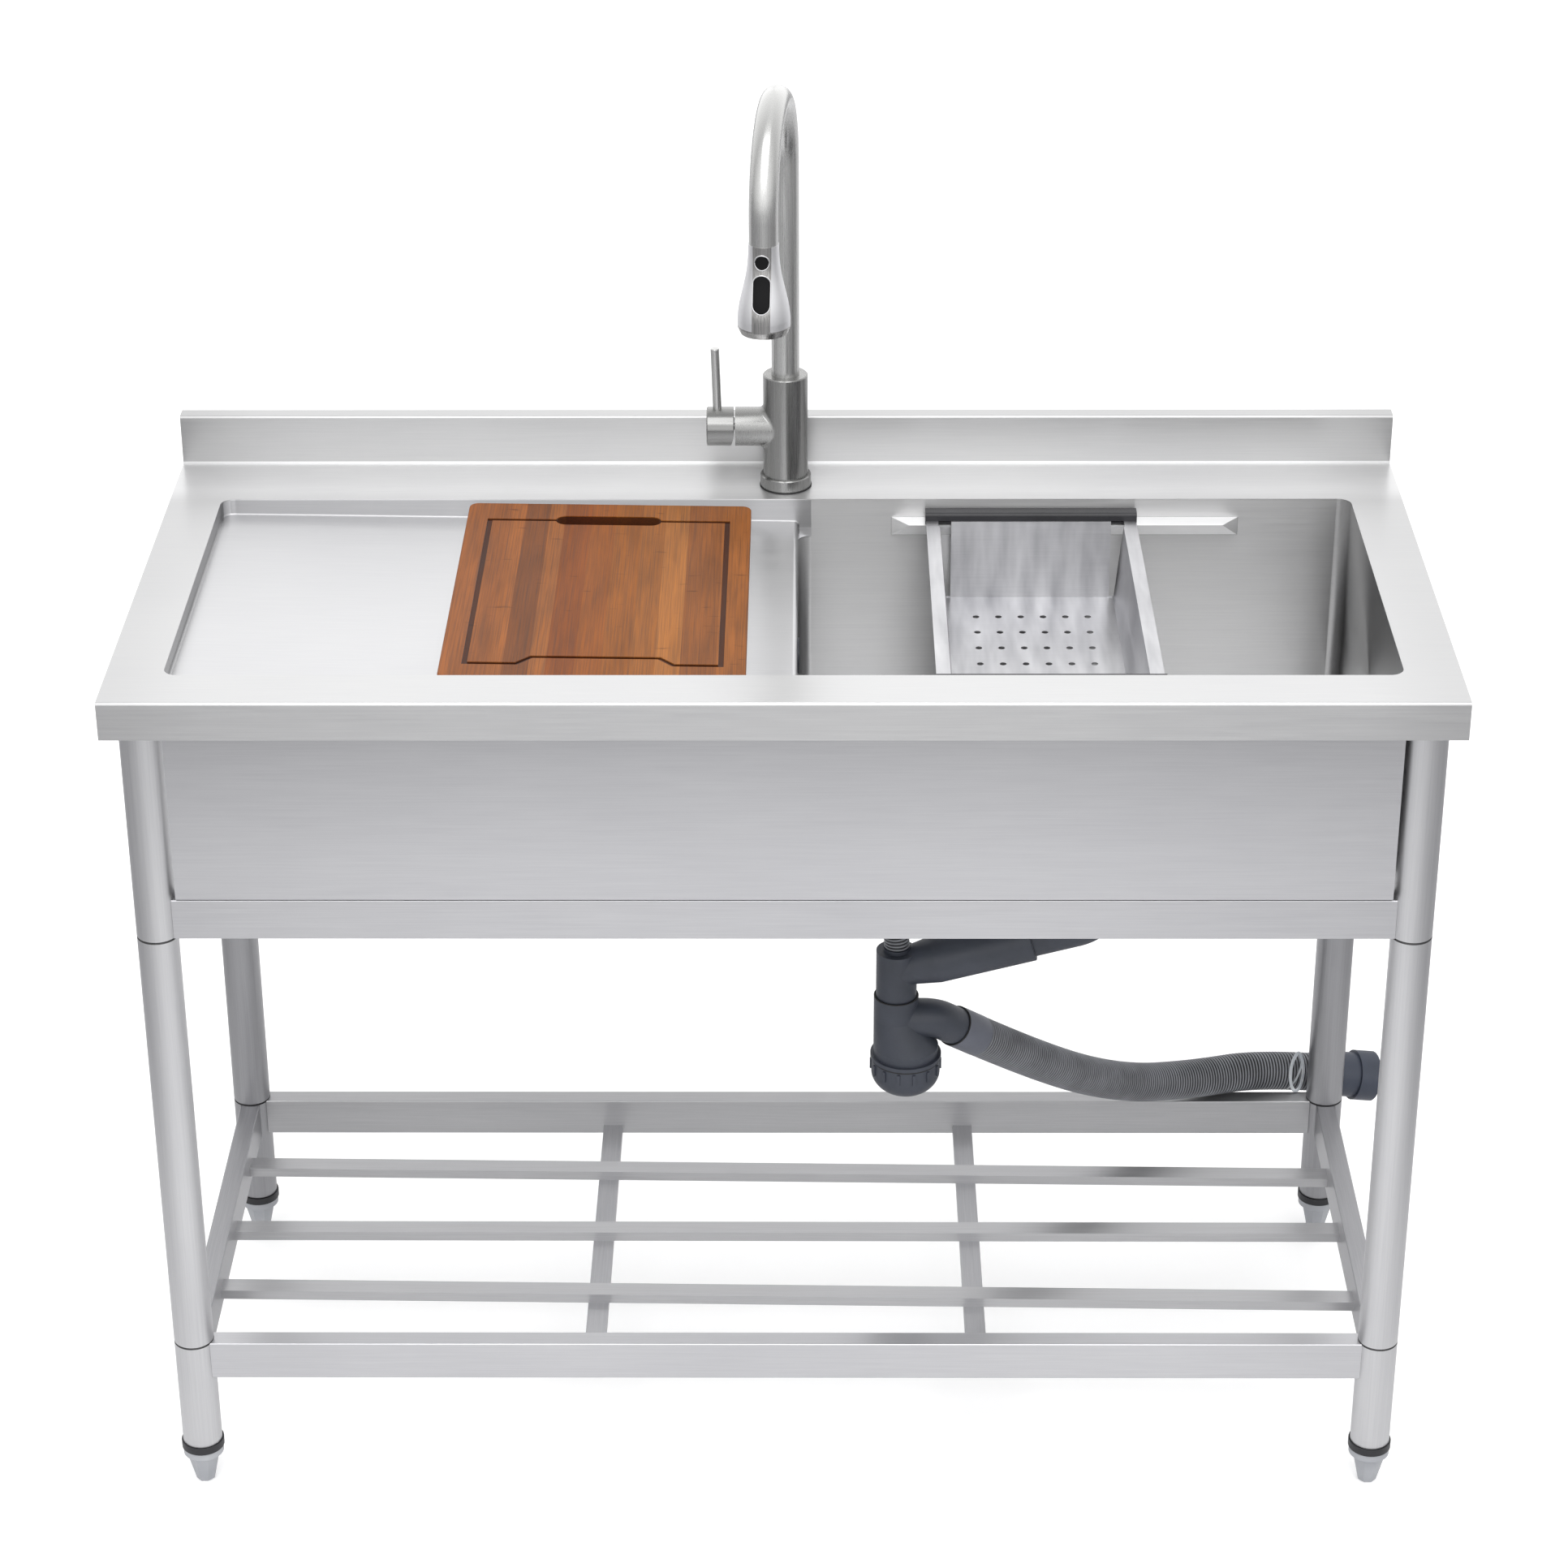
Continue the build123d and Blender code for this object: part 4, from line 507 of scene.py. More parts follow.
@dataclass(frozen=True)
class PlatedHead:
    """Satin-plated ABS with a brushed plate down its front and a darker ring round its lower rim.

    The plate and the ring are told from the rest by their place on the head.
    """

    name: str
    axis: Pair
    facing: Pair
    strip_mm: float
    rim_height: float
    satin: str
    plate: str
    plate_dark: str = "#949392"

    def plated(self, tree: NodeTree) -> Node:
        """Tells the brushed plate and the ring from the satin shell.

        Args:
            tree: The node tree that gets the nodes.

        Returns:
            A node that gives one on the plate and the ring, and zero elsewhere.
        """
        place = add_node(tree, "TexCoord").outputs["Object"]
        centre = (*self.axis, 0.0)
        offset = add_node(tree, "VectorMath", {"operation": "SUBTRACT"}, {0: place, 1: centre})
        sideways = (-self.facing[1], self.facing[0], 0.0)
        dot = {"operation": "DOT_PRODUCT"}
        side = add_node(tree, "VectorMath", dot, {0: offset, 1: sideways})
        front = add_node(tree, "VectorMath", dot, {0: offset, 1: (*self.facing, 0.0)})
        away = add_node(tree, "Math", {"operation": "ABSOLUTE"}, {0: side})
        narrow = add_node(tree, "Math", {"operation": "LESS_THAN"}, {0: away, 1: 0.5 * self.strip_mm * MM})
        ahead = add_node(tree, "Math", {"operation": "GREATER_THAN"}, {0: front, 1: 0.0})
        strip = add_node(tree, "Math", {"operation": "MULTIPLY"}, {0: narrow, 1: ahead})
        axes = add_node(tree, "SeparateXYZ", None, {"Vector": place})
        rim = add_node(tree, "Math", {"operation": "LESS_THAN"}, {0: axes.outputs["Z"], 1: self.rim_height})
        return add_node(tree, "Math", {"operation": "MAXIMUM"}, {0: strip, 1: rim})

    def material(self) -> Material:
        """Builds the node material.

        Returns:
            The material.
        """
        material, tree = start_material(self.name)
        metal = self.plated(tree)
        lines = stretched_noise(tree, (0.9, 0.9, 60.0), 3.0)
        stops = ((NOISE_LOW, self.plate_dark), (NOISE_HIGH, self.plate))
        plate = add_node(tree, "ValToRGB", None, {"Fac": lines}, stops)
        both = {"Factor": metal, "A": linear(self.satin), "B": plate}
        end_material(tree, {
            "Base Color": add_node(tree, "Mix", {"data_type": "RGBA"}, both),
            "Roughness": add_node(tree, "MapRange", None, {"Value": metal, "To Min": 0.42, "To Max": 0.25}),
            "Metallic": 1.0,
        })
        return material


@dataclass(frozen=True)
class ClearNylon:
    """Natural nylon 6, moulded: milky, lets light through, with a soft sheen."""

    name: str
    light: str
    dark: str
    roughness: float
    ior: float = 1.53
    see_through: float = 0.45

    def material(self) -> Material:
        """Builds the node material.

        Returns:
            The material.
        """
        material, tree = start_material(self.name)
        clouds = stretched_noise(tree, (6.0, 6.0, 6.0), 2.0)
        stops = ((NOISE_LOW, self.dark), (NOISE_HIGH, self.light))
        end_material(tree, {
            "Base Color": add_node(tree, "ValToRGB", None, {"Fac": clouds}, stops),
            "Roughness": self.roughness,
            "IOR": self.ior,
            "Transmission Weight": self.see_through,
        })
        return material


def finishes() -> Finishes:
    """Builds every finish once.

    Returns:
        The materials by short name.
    """
    strips = (
        (0.0, "#90552B"), (0.16, "#985A2B"), (0.205, "#7A4724"), (0.29, "#965A2B"), (0.345, "#84471B"),
        (0.44, "#8B4E1D"), (0.525, "#90541F"), (0.62, "#925825"), (0.70, "#A26630"), (0.785, "#875026"),
        (0.90, "#955928"),
    )
    seam_heights = (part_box("leg_base_front_left")[1][2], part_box("leg_head_front_left")[0][2])
    seams = tuple(Zone((("Z", height - SEAM_HALF, height + SEAM_HALF),), 0.12) for height in seam_heights)
    across, deep, upright = Grain.ALONG_X, Grain.ALONG_Y, Grain.ALONG_Z
    kinds = {
        # Stainless sheet, belt-brushed along the sink: pale grey, with soft streaks and stretched glints.
        # The recess's walls stand in its own shade, so they are darker than its floor.
        "sheet": ZonedSteel(
            SatinSteel("brushed_stainless_sheet", "#CACACB", "#C0C0C2", 0.36, across, 0.7),
            (
                Zone((("Y", 0.1690, 0.1725), ("Z", 0.84, 0.8688)), 0.72),
                Zone((("X", -0.5515, -0.5478), ("Z", 0.852, 0.8688)), 0.58),
            ),
        ),
        # Painted shade greys the splash, and painted light makes the deck paler towards it, standing in for
        # their reflections. The splash's top edge is less grey than the splash, and the deck is a little
        # darker towards its ends.
        "top": ZonedSteel(
            SatinSteel("brushed_stainless_worktop", "#CBCBCB", "#C1C1C2", 0.36, across, 0.7),
            (
                # Painted shade on the splash
                Zone((("Y", 0.2, 0.272), ("Z", 0.8722, 0.9192)), 0.61),
                Zone((("Z", 0.9192, 1.0),), 0.7),
            ),
            (
                # Painted light on the deck in front of the splash, and on the splash
                Fade("Y", (0.16, 0.2), (1.0, 1.24)),
                Fade("X", (-0.6, -0.5), (0.9, 1.0)),
                Fade("X", (0.6, 0.5), (0.9, 1.0)),
            ),
        ),
        # Painted shade of the lip: the apron is greyest just under the lip, and a little paler at its bottom.
        "apron": ZonedSteel(
            SatinSteel("brushed_stainless_apron", "#CACACC", "#C0C0C3", 0.36, across, 0.7),
            (), (Fade("Z", (0.83, 0.67), (0.87, 1.03)),),
        ),
        # Painted light makes the bowl's back ledge bright, painted shade darkens its right wall and its walls
        # towards the rim, and its floor is drawn slightly paler.
        "bowl": ZonedSteel(
            SatinSteel("brushed_stainless_bowl", "#CACACA", "#C0C0C1", 0.40, across, 0.9),
            (Zone((("X", 0.10, 0.445), ("Y", 0.1505, 0.1695), ("Z", 0.829, 0.8535)), 1.75),),
            (Fade("X", (0.505, 0.55), (1.0, 0.72)), Fade("Z", (0.868, 0.72), (0.86, 1.06))),
        ),
        # Thin stainless sheet, pressed and rubbed: cloudy, with upright smears.
        "basket": SatinSteel(
            "brushed_stainless_basket", "#CACACC", "#AAAAAD", 0.34, across, 0.6, 0.0001,
            (14.0, 90.0, 70.0), 0.8,
        ),
        # Drawn stainless tube: lines along its length. The tubes behind and the slats are drawn darker as
        # painted shade, and the legs' seams are dark.
        "tube_x": SatinSteel("drawn_stainless_tube_across", "#CCCCCE", "#C0C0C3", 0.34, across, 0.7),
        "slat": SatinSteel("drawn_stainless_slat", "#C0C0C1", "#B2B2B4", 0.32, across),
        "tube_y": SatinSteel("drawn_stainless_tube_deep", "#B4B4B6", "#A2A2A5", 0.32, deep),
        "tube_x_rear": SatinSteel("drawn_stainless_tube_behind", "#BCBCBD", "#AEAEB0", 0.34, across, 0.7),
        "tube_z": ZonedSteel(
            SatinSteel("drawn_stainless_tube_upright", "#D6D6D7", "#C8C8CA", 0.42, upright), seams
        ),
        "tube_z_rear": ZonedSteel(
            SatinSteel("drawn_stainless_tube_rear", "#ACACAE", "#9C9C9F", 0.36, upright), seams
        ),
        # Brushed nickel plate on turned brass and drawn tube: darker than the steel, with long narrow glints.
        # The spout and the lever rod are drawn much paler than the tap's body, as painted light for the
        # bright reflection down the spout.
        "nickel": SatinSteel(
            "brushed_nickel_turned", "#949493", "#868685", 0.27, Grain.UPRIGHT, 0.75, 0.00002
        ),
        "nickel_tube": SatinSteel(
            "brushed_nickel_drawn", "#C4C4C3", "#B6B6B5", 0.27, Grain.UPRIGHT, 0.75, 0.00004
        ),
        "nickel_side": SatinSteel(
            "brushed_nickel_turned_sideways", "#8E8E8D", "#828281", 0.27, Grain.SIDEWAYS, 0.6, 0.00004
        ),
        # Plated ABS: satin shell with a brushed plate down the front; the buttons' lips are polished.
        "plated": PlatedHead(
            "satin_plated_abs_head", HEAD_AXIS, HEAD_FACING, 17.0, 1.0995, "#DEDEE0", "#C4C3C1"
        ),
        "rim": SatinSteel("polished_plated_rim", "#E6E6E8", "#DADADC", 0.2, upright),
        # Polished stainless strainer: brighter and sharper than the bowl.
        "drain": SatinSteel("polished_stainless_drain", "#C4C4C6", "#B2B2B4", 0.2, across),
        # Moulded plastics and rubber: matt, with a fine texture that breaks up the highlights.
        "black": MouldedPlastic("black_abs_moulded", "#26262A", "#1C1C1F", 0.42),
        "button": MouldedPlastic("black_abs_button", "#0E0E10", "#09090A", 0.4, specular=0.16),
        "foot": MouldedPlastic("grey_polypropylene_foot", "#A9ABAF", "#9A9CA1", 0.38),
        "slate": MouldedPlastic("slate_polypropylene_pipe", "#3B3F49", "#31353E", 0.46),
        "cuff": MouldedPlastic("grey_polypropylene_cuff", "#656872", "#595C66", 0.45),
        "fitting": MouldedPlastic("blue_grey_polypropylene_socket", "#3A404E", "#313743", 0.44),
        "white": MouldedPlastic("white_acetal_cartridge", "#E2E2E0", "#D2D2D0", 0.4),
        "rubber": MouldedPlastic("black_nitrile_rubber", "#1B1B1C", "#121213", 0.62),
        "nozzle": MouldedPlastic("grey_silicone_nozzle", "#6E6E70", "#5C5C5E", 0.5),
        # Nylon braid: its weave is drawn as a coarse, raised speckle.
        "braid": MouldedPlastic("grey_nylon_braid", "#77787B", "#4C4D50", 0.5, 1.4, 0.25),
        # Blow-moulded hose: grey crests, with painted shade in the dark valleys.
        "hose": RibbedPlastic("grey_ribbed_polypropylene", "#85878C", "#232427", 0.48),
        # Turned brass: yellow, with rings left by the lathe.
        "brass": SatinSteel("machined_brass_nut", "#C9A565", "#B08C4C", 0.32, Grain.ROUND_Z),
        # Oiled bamboo: brown strips of differing tone, darker in the juice groove and the grip.
        "wood": OiledStrips(
            "carbonised_bamboo_oiled", -0.3075, 0.274, strips, 1.0, 0.5, 0.014248, 0.86257,
            (("X", -0.2955, -0.0455), ("Y", -0.2115, 0.1585)),
        ),
        # Natural nylon: milky, half clear.
        "nylon": ClearNylon("natural_nylon_tie", "#F2F5F8", "#DDE2E8", 0.28),
    }
    return {key: kind.material() for key, kind in kinds.items()}


@dataclass(frozen=True)
class CadFinish:
    """Which finish each carried-over node wears."""

    nodes: tuple[str, ...]
    finish: str

    def dress(self, frame: dict[str, Any], materials: Finishes) -> None:
        """Gives the nodes their finish.

        Args:
            frame: What the frame loader returned.
            materials: Finishes by short name.
        """
        for name in self.nodes:
            node = frame["nodes"][name]
            for slot in node.material_slots:
                slot.material = materials[self.finish]
            LOG.info("dressed %s in %s", name, self.finish)


def cad_finishes() -> list[CadFinish]:
    """Lists the finish of every node that is shown as modelled.

    Returns:
        The nodes of each finish.
    """
    lengths = ("leg_head", "leg_tube", "leg_base")
    front_legs = tuple(f"{length}_front_{side}" for length in lengths for side in ("left", "right"))
    rear_legs = tuple(f"{length}_back_{side}" for length in lengths for side in ("left", "right"))
    return [
        CadFinish(("drainboard",), "sheet"),
        CadFinish(("front_apron",), "apron"),
        CadFinish(("worktop",), "top"),
        CadFinish(("colander_basket",), "basket"),
        CadFinish(("sink_bowl",), "bowl"),
        CadFinish(front_legs + ("leg_spigots",), "tube_z"),
        CadFinish(rear_legs, "tube_z_rear"),
        CadFinish(("apron_rail_front", "apron_rail_back", "shelf_rail_front"), "tube_x"),
        CadFinish(("shelf_slats",), "slat"),
        CadFinish(("shelf_rail_back",), "tube_x_rear"),
        CadFinish(
            ("apron_rail_left", "apron_rail_right", "shelf_rail_left", "shelf_rail_right", "shelf_bearers"),
            "tube_y",
        ),
        CadFinish(("tap_base", "tap_body"), "nickel"),
        CadFinish(("spout", "lever_rod"), "nickel_tube"),
        CadFinish(("lever_cap", "valve_stem"), "nickel_side"),
        CadFinish(("spray_head",), "plated"),
        CadFinish(("strainer_flange", "strainer_basket"), "drain"),
        CadFinish(("leg_inserts", "colander_grips"), "black"),
        CadFinish(("stream_button", "pause_button"), "button"),
        CadFinish(tuple(f"foot_{corner}" for corner in CORNERS), "foot"),
        CadFinish(("strainer_cup", "drain_arm", "trap_bottle", "trap_cap", "overflow_elbow"), "slate"),
        CadFinish(("hose_end",), "fitting"),
        CadFinish(("valve_cartridge",), "white"),
        CadFinish(("gaskets",), "rubber"),
        CadFinish(("spray_nozzle",), "nozzle"),
        CadFinish(("tap_nut",), "brass"),
        CadFinish(("cutting_board",), "wood"),
    ]


def mesh_object(name: str, points: list[Vector], faces: Faces) -> Object:
    """Makes a smooth-shaded mesh object.

    Args:
        name: The object's name.
        points: Its vertices in metres.
        faces: Vertex numbers of each face.

    Returns:
        The object, linked to the scene.
    """
    mesh = bpy.data.meshes.new(name)
    mesh.from_pydata([tuple(p) for p in points], [], faces)
    mesh.update()
    mesh.shade_smooth()
    piece = bpy.data.objects.new(name, mesh)
    bpy.context.scene.collection.objects.link(piece)
    return piece


def spline_line(name: str, route: Sequence[Vector]) -> list[Vector]:
    """Follows a route on one smooth NURBS spline.

    Args:
        name: Name for the short-lived curve.
        route: The spline's control points in metres.

    Returns:
        Points along the spline, close together.
    """
    curve = bpy.data.curves.new(name, "CURVE")
    curve.dimensions = "3D"
    curve.resolution_u = SPLINE_STEPS
    spline = curve.splines.new("NURBS")
    spline.points.add(len(route) - 1)
    for point, place in zip(spline.points, route):
        point.co = (*place, 1.0)
    spline.order_u = 3
    spline.use_endpoint_u = True
    holder = bpy.data.objects.new(name, curve)
    bpy.context.scene.collection.objects.link(holder)
    bpy.context.view_layer.update()
    mesh = bpy.data.meshes.new_from_object(holder)
    line = [vertex.co.copy() for vertex in mesh.vertices]
    bpy.data.meshes.remove(mesh)
    bpy.data.objects.remove(holder)
    bpy.data.curves.remove(curve)
    return line


def walk(line: Sequence[Vector], distances: Sequence[float]) -> list[tuple[Vector, Vector]]:
    """Finds places along a line.

    Args:
        line: Points of the line.
        distances: How far along the line each place is, in rising order.

    Returns:
        Each place with the line's direction there.
    """
    places = []
    index, start = 0, 0.0
    for distance in distances:
        while index < len(line) - 2 and start + (line[index + 1] - line[index]).length < distance:
            start += (line[index + 1] - line[index]).length
            index += 1
        run = line[index + 1] - line[index]
        share = min(max((distance - start) / run.length, 0.0), 1.0)
        places.append((line[index] + run * share, run.normalized()))
    return places


def tube_mesh(name: str, line: Sequence[Vector], rings: Sequence[Pair], sides: int) -> Object:
    """Makes a round tube of changing radius along a line.

    Args:
        name: The object's name.
        line: Points of the line.
        rings: Distance along the line and radius of each ring.
        sides: Points in a ring.

    Returns:
        The tube.
    """
    ordered = sorted({distance for distance, _ in rings})
    frames: dict[float, tuple[Vector, Vector, Vector]] = {}
    side = (line[1] - line[0]).orthogonal().normalized()
    for distance, (centre, heading) in zip(ordered, walk(line, ordered)):
        side = (side - heading * side.dot(heading)).normalized()
        frames[distance] = (centre, side.copy(), heading.cross(side))
    turns = [math.tau * k / sides for k in range(sides)]
    points: list[Vector] = []
    for distance, radius in rings:
        centre, right, up = frames[distance]
        points += [centre + (right * math.cos(t) + up * math.sin(t)) * radius for t in turns]
    faces: Faces = []
    for ring in range(len(rings) - 1):
        for k in range(sides):
            a, b = ring * sides + k, ring * sides + (k + 1) % sides
            faces.append((a, b, b + sides, a + sides))
    return mesh_object(name, points, faces)


def line_length(line: Sequence[Vector]) -> float:
    """Length of a line of points."""
    return sum((b - a).length for a, b in zip(line, line[1:]))


@dataclass
class RibbedHose:
    """Corrugated plastic hose: rounded ribs along a route, with an optional smooth cuff at its start."""

    name: str
    node: str
    route: tuple[Triple, ...]
    crest_mm: float
    valley_mm: float
    bore_mm: float
    pitch_mm: float
    far_end: str
    lay: str
    cuff_mm: float = 0.0
    cuff_radius_mm: float = 0.0
    sides: int = 44

    def profile(self, length: float) -> list[Pair]:
        """Lists distance along the hose and radius of each ring.

        Args:
            length: The hose's length in metres.

        Returns:
            Distances and radii in metres, from the bore at the start to the bore at the end.
        """
        cuff = self.cuff_mm * MM
        rings = [(0.0, self.bore_mm * MM)]
        if cuff:
            radius = self.cuff_radius_mm * MM
            rings += [(along * MM, radius - drop * MM) for along, drop in CUFF_START]
            rings += [(cuff - along * MM, radius - drop * MM) for along, drop in CUFF_FINISH]
        count = int((length - cuff) / (self.pitch_mm * MM))
        step = (length - cuff) / count
        for rib in range(count):
            for share, rise in RIB_WAVE:
                radius = self.valley_mm + (self.crest_mm - self.valley_mm) * rise
                rings.append((cuff + (rib + share) * step, radius * MM))
        rings += [(length, self.valley_mm * MM), (length, self.bore_mm * MM)]
        return rings

    def build(self, materials: Finishes, with_pieces: Sequence[Object] = ()) -> Object:
        """Args:
            materials: Finishes by short name.
            with_pieces: Separate pieces that are on the hose; not used.

        Returns:
            The hose.
        """
        line = spline_line(self.name + "_line", [Vector(p) for p in self.route])
        length = line_length(line)
        rings = self.profile(length)
        piece = tube_mesh(self.name, line, rings, self.sides)
        piece.data.materials.append(materials["hose"])
        piece.data.materials.append(materials["cuff"])
        height = piece.data.attributes.new(RIB_HEIGHT, "FLOAT", "POINT")
        for index, (_, radius) in enumerate(rings):
            rise = (radius / MM - self.valley_mm) / (self.crest_mm - self.valley_mm)
            for k in range(self.sides):
                height.data[index * self.sides + k].value = rise
        cuff_rings = sum(1 for distance, _ in rings if distance <= self.cuff_mm * MM) - 1
        for polygon in piece.data.polygons[: max(cuff_rings, 0) * self.sides]:
            polygon.material_index = 1
        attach(piece, "stand")
        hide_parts(self.node)
        LOG.info("built %s, %.3f m long", self.name, length)
        return piece


@dataclass
class SprayHose:
    """Braided hose that stands in the spray head, runs through the spout and ends in a brass connector."""

    tap: Pair = (0.0, 0.206)
    facing: Pair = HEAD_FACING
    radius_mm: float = 6.0
    bore_share: float = 0.6
    ring_mm: float = 4.0
    sides: int = 32
    profile_points: tuple[Pair, ...] = (
        (0.165, 1.097), (0.165, 1.1658), (0.165, 1.2342), (0.1167, 1.2825), (0.0483, 1.2825), (0.0, 1.2342),
        (0.0, 1.1658), (0.0, 0.784),
    )
    connector: tuple[Pair, ...] = (
        (0.0, 5.0), (0.0, 6.8), (6.0, 6.8), (6.2, 8.2), (13.0, 8.2), (13.2, 6.6), (24.0, 6.6), (24.5, 6.0),
    )
    connector_sides: int = 36
    connector_reach: float = 0.03

    def build(self, materials: Finishes) -> None:
        """Builds the hose and its connector; both turn with the spout.

        Args:
            materials: Finishes by short name.
        """
        out = Vector((*self.facing, 0.0))
        foot = Vector((*self.tap, 0.0))
        route = [foot + out * reach + Vector((0.0, 0.0, height)) for reach, height in self.profile_points]
        line = spline_line("spray_hose_line", route)
        length = line_length(line)
        radius = self.radius_mm * MM
        bore = self.bore_share * radius
        count = int(length / (self.ring_mm * MM))
        rings = [(0.0, bore)] + [(length * k / count, radius) for k in range(count + 1)] + [(length, bore)]
        hose = tube_mesh("braided_spray_hose", line, rings, self.sides)
        hose.data.materials.append(materials["braid"])
        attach(hose, "spout")
        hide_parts("spray_hose")
        end = [route[-1], route[-1] + Vector((0.0, 0.0, self.connector_reach))]
        turned = [(along * MM, wide * MM) for along, wide in self.connector]
        connector = tube_mesh("spray_hose_connector", end, turned, self.connector_sides)
        connector.data.materials.append(materials["brass"])
        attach(connector, "spout")
        LOG.info("built the spray hose, %.3f m long", length)


def add_band(
    points: list[Vector], faces: Faces, line: Sequence[Vector], outward: Sequence[Vector], size_mm: Pair,
    closed: bool,
) -> None:
    """Adds a flat band along a line.

    Args:
        points: Vertices, which grow.
        faces: Faces, which grow.
        line: The band's middle line.
        outward: Direction that its flat side faces at each point.
        size_mm: The band's width and thickness.
        closed: Whether the line's end joins its start.
    """
    first, count = len(points), len(line)
    for k, place in enumerate(line):
        before = line[k - 1] if closed or k else place
        after = line[(k + 1) % count] if closed or k < count - 1 else place
        across = (after - before).normalized().cross(outward[k]).normalized() * (0.5 * size_mm[0] * MM)
        thick = outward[k].normalized() * (0.5 * size_mm[1] * MM)
        points += [place + across + thick, place - across + thick]
        points += [place - across - thick, place + across - thick]
    for k in range(count if closed else count - 1):
        a, b = first + 4 * k, first + 4 * ((k + 1) % count)
        faces += [(a + j, b + j, b + (j + 1) % 4, a + (j + 1) % 4) for j in range(4)]
    if not closed:
        last = first + 4 * (count - 1)
        faces += [(first, first + 1, first + 2, first + 3), (last + 3, last + 2, last + 1, last)]


@dataclass
class HoseTie:
    """Clear nylon tie: an upright oval loop on the front of the hose and a thin strap round the hose."""

    hose_end: Triple = WASTE_END
    heading: Triple = (0.95497, 0.21293, -0.20648)
    along_mm: float = 44.0
    crest_mm: float = 20.4
    tilt_deg: float = 28.0
    loop_mm: Pair = (44.0, 18.0)
    band_mm: Pair = (3.4, 1.3)
    loop_steps: int = 48
    pinch_share: float = 0.35
    strap_mm: Pair = (2.2, 0.8)
    strap_steps: int = 24
    strap_from_deg: float = -38.0
    strap_turn_deg: float = 150.0
    strap_start_mm: float = 7.0
    strap_slant_mm: float = 16.0
    loop_gap_mm: float = 0.3
    strap_gap_mm: float = 0.6
    edge_mm: float = 0.25

    def build(self, materials: Finishes) -> Object:
        """Builds the loop with its strap.

        Args:
            materials: Finishes by short name.

        Returns:
            The tie.
        """
        along = Vector(self.heading).normalized()
        tilt = math.radians(self.tilt_deg)
        facing = Vector((0.0, -math.cos(tilt), math.sin(tilt)))
        facing = (facing - along * facing.dot(along)).normalized()
        upward = facing.cross(along).normalized()
        upward = upward if upward.z > 0 else -upward
        axis_point = Vector(self.hose_end) - along * self.along_mm * MM
        centre = axis_point + facing * (self.crest_mm + self.loop_gap_mm + self.band_mm[1] / 2) * MM
        tall, wide = (0.5 * (size - self.band_mm[0]) * MM for size in self.loop_mm)
        loop = []
        for k in range(self.loop_steps):
            turn = math.tau * k / self.loop_steps
            rise = math.sin(turn)
            pinch = 1.0 - self.pinch_share * max(rise, 0.0) ** 2
            loop.append(centre + upward * tall * rise + along * wide * pinch * math.cos(turn))
        points: list[Vector] = []
        faces: Faces = []
        add_band(points, faces, loop, [facing] * self.loop_steps, self.band_mm, True)
        reach = (self.crest_mm + self.strap_gap_mm) * MM
        strap, outward = [], []
        for k in range(self.strap_steps + 1):
            turn = math.radians(self.strap_from_deg + self.strap_turn_deg * k / self.strap_steps)
            ray = facing * math.cos(turn) - upward * math.sin(turn)
            shift = self.strap_start_mm - self.strap_slant_mm * k / self.strap_steps
            strap.append(axis_point + ray * reach + along * shift * MM)
            outward.append(ray)
        add_band(points, faces, strap, outward, self.strap_mm, False)
        tie = mesh_object("nylon_tie", points, faces)
        tie.data.materials.append(materials["nylon"])
        bevel = tie.modifiers.new("soft_edges", "BEVEL")
        bevel.width = self.edge_mm * MM
        bevel.segments = 2
        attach(tie, "stand")
        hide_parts("hose_tie")
        LOG.info("built the nylon tie")
        return tie


@dataclass
class ButtonRim:
    """Thin bright lip round a button of the spray head, lying on the head's surface."""

    name: str
    height: float
    radius_mm: float
    straight_mm: float
    axis: Pair = HEAD_AXIS
    facing: Pair = HEAD_FACING
    lip_mm: Pair = (1.2, 0.9)
    edge_mm: float = 0.3
    steps: int = 72
    aim_from: float = 0.06

    def build(self, frame: dict[str, Any], materials: Finishes) -> None:
        """Builds the lip, which moves with the head.

        Args:
            frame: What the frame loader returned.
            materials: Finishes by short name.
        """
        out = Vector((*self.facing, 0.0))
        aside = Vector((-self.facing[1], self.facing[0], 0.0))
        start = Vector((*self.axis, self.height)) + out * self.aim_from
        head = frame["nodes"]["spray_head"]
        line, outward = [], []
        for k in range(self.steps):
            turn = math.tau * (k + 0.5) / self.steps
            rise = self.radius_mm * math.sin(turn) + math.copysign(0.5 * self.straight_mm, math.sin(turn))
            aim = start + (aside * self.radius_mm * math.cos(turn) + Vector((0.0, 0.0, rise))) * MM
            _, spot, normal, _ = head.ray_cast(aim, -out)
            line.append(spot)
            outward.append(normal.copy())
        points: list[Vector] = []
        faces: Faces = []
        add_band(points, faces, line, outward, self.lip_mm, True)
        rim = mesh_object(self.name, points, faces)
        rim.data.materials.append(materials["rim"])
        bevel = rim.modifiers.new("rounded_lip", "BEVEL")
        bevel.width = self.edge_mm * MM
        bevel.segments = 2
        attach(rim, "spray_head")
        LOG.info("built %s", self.name)


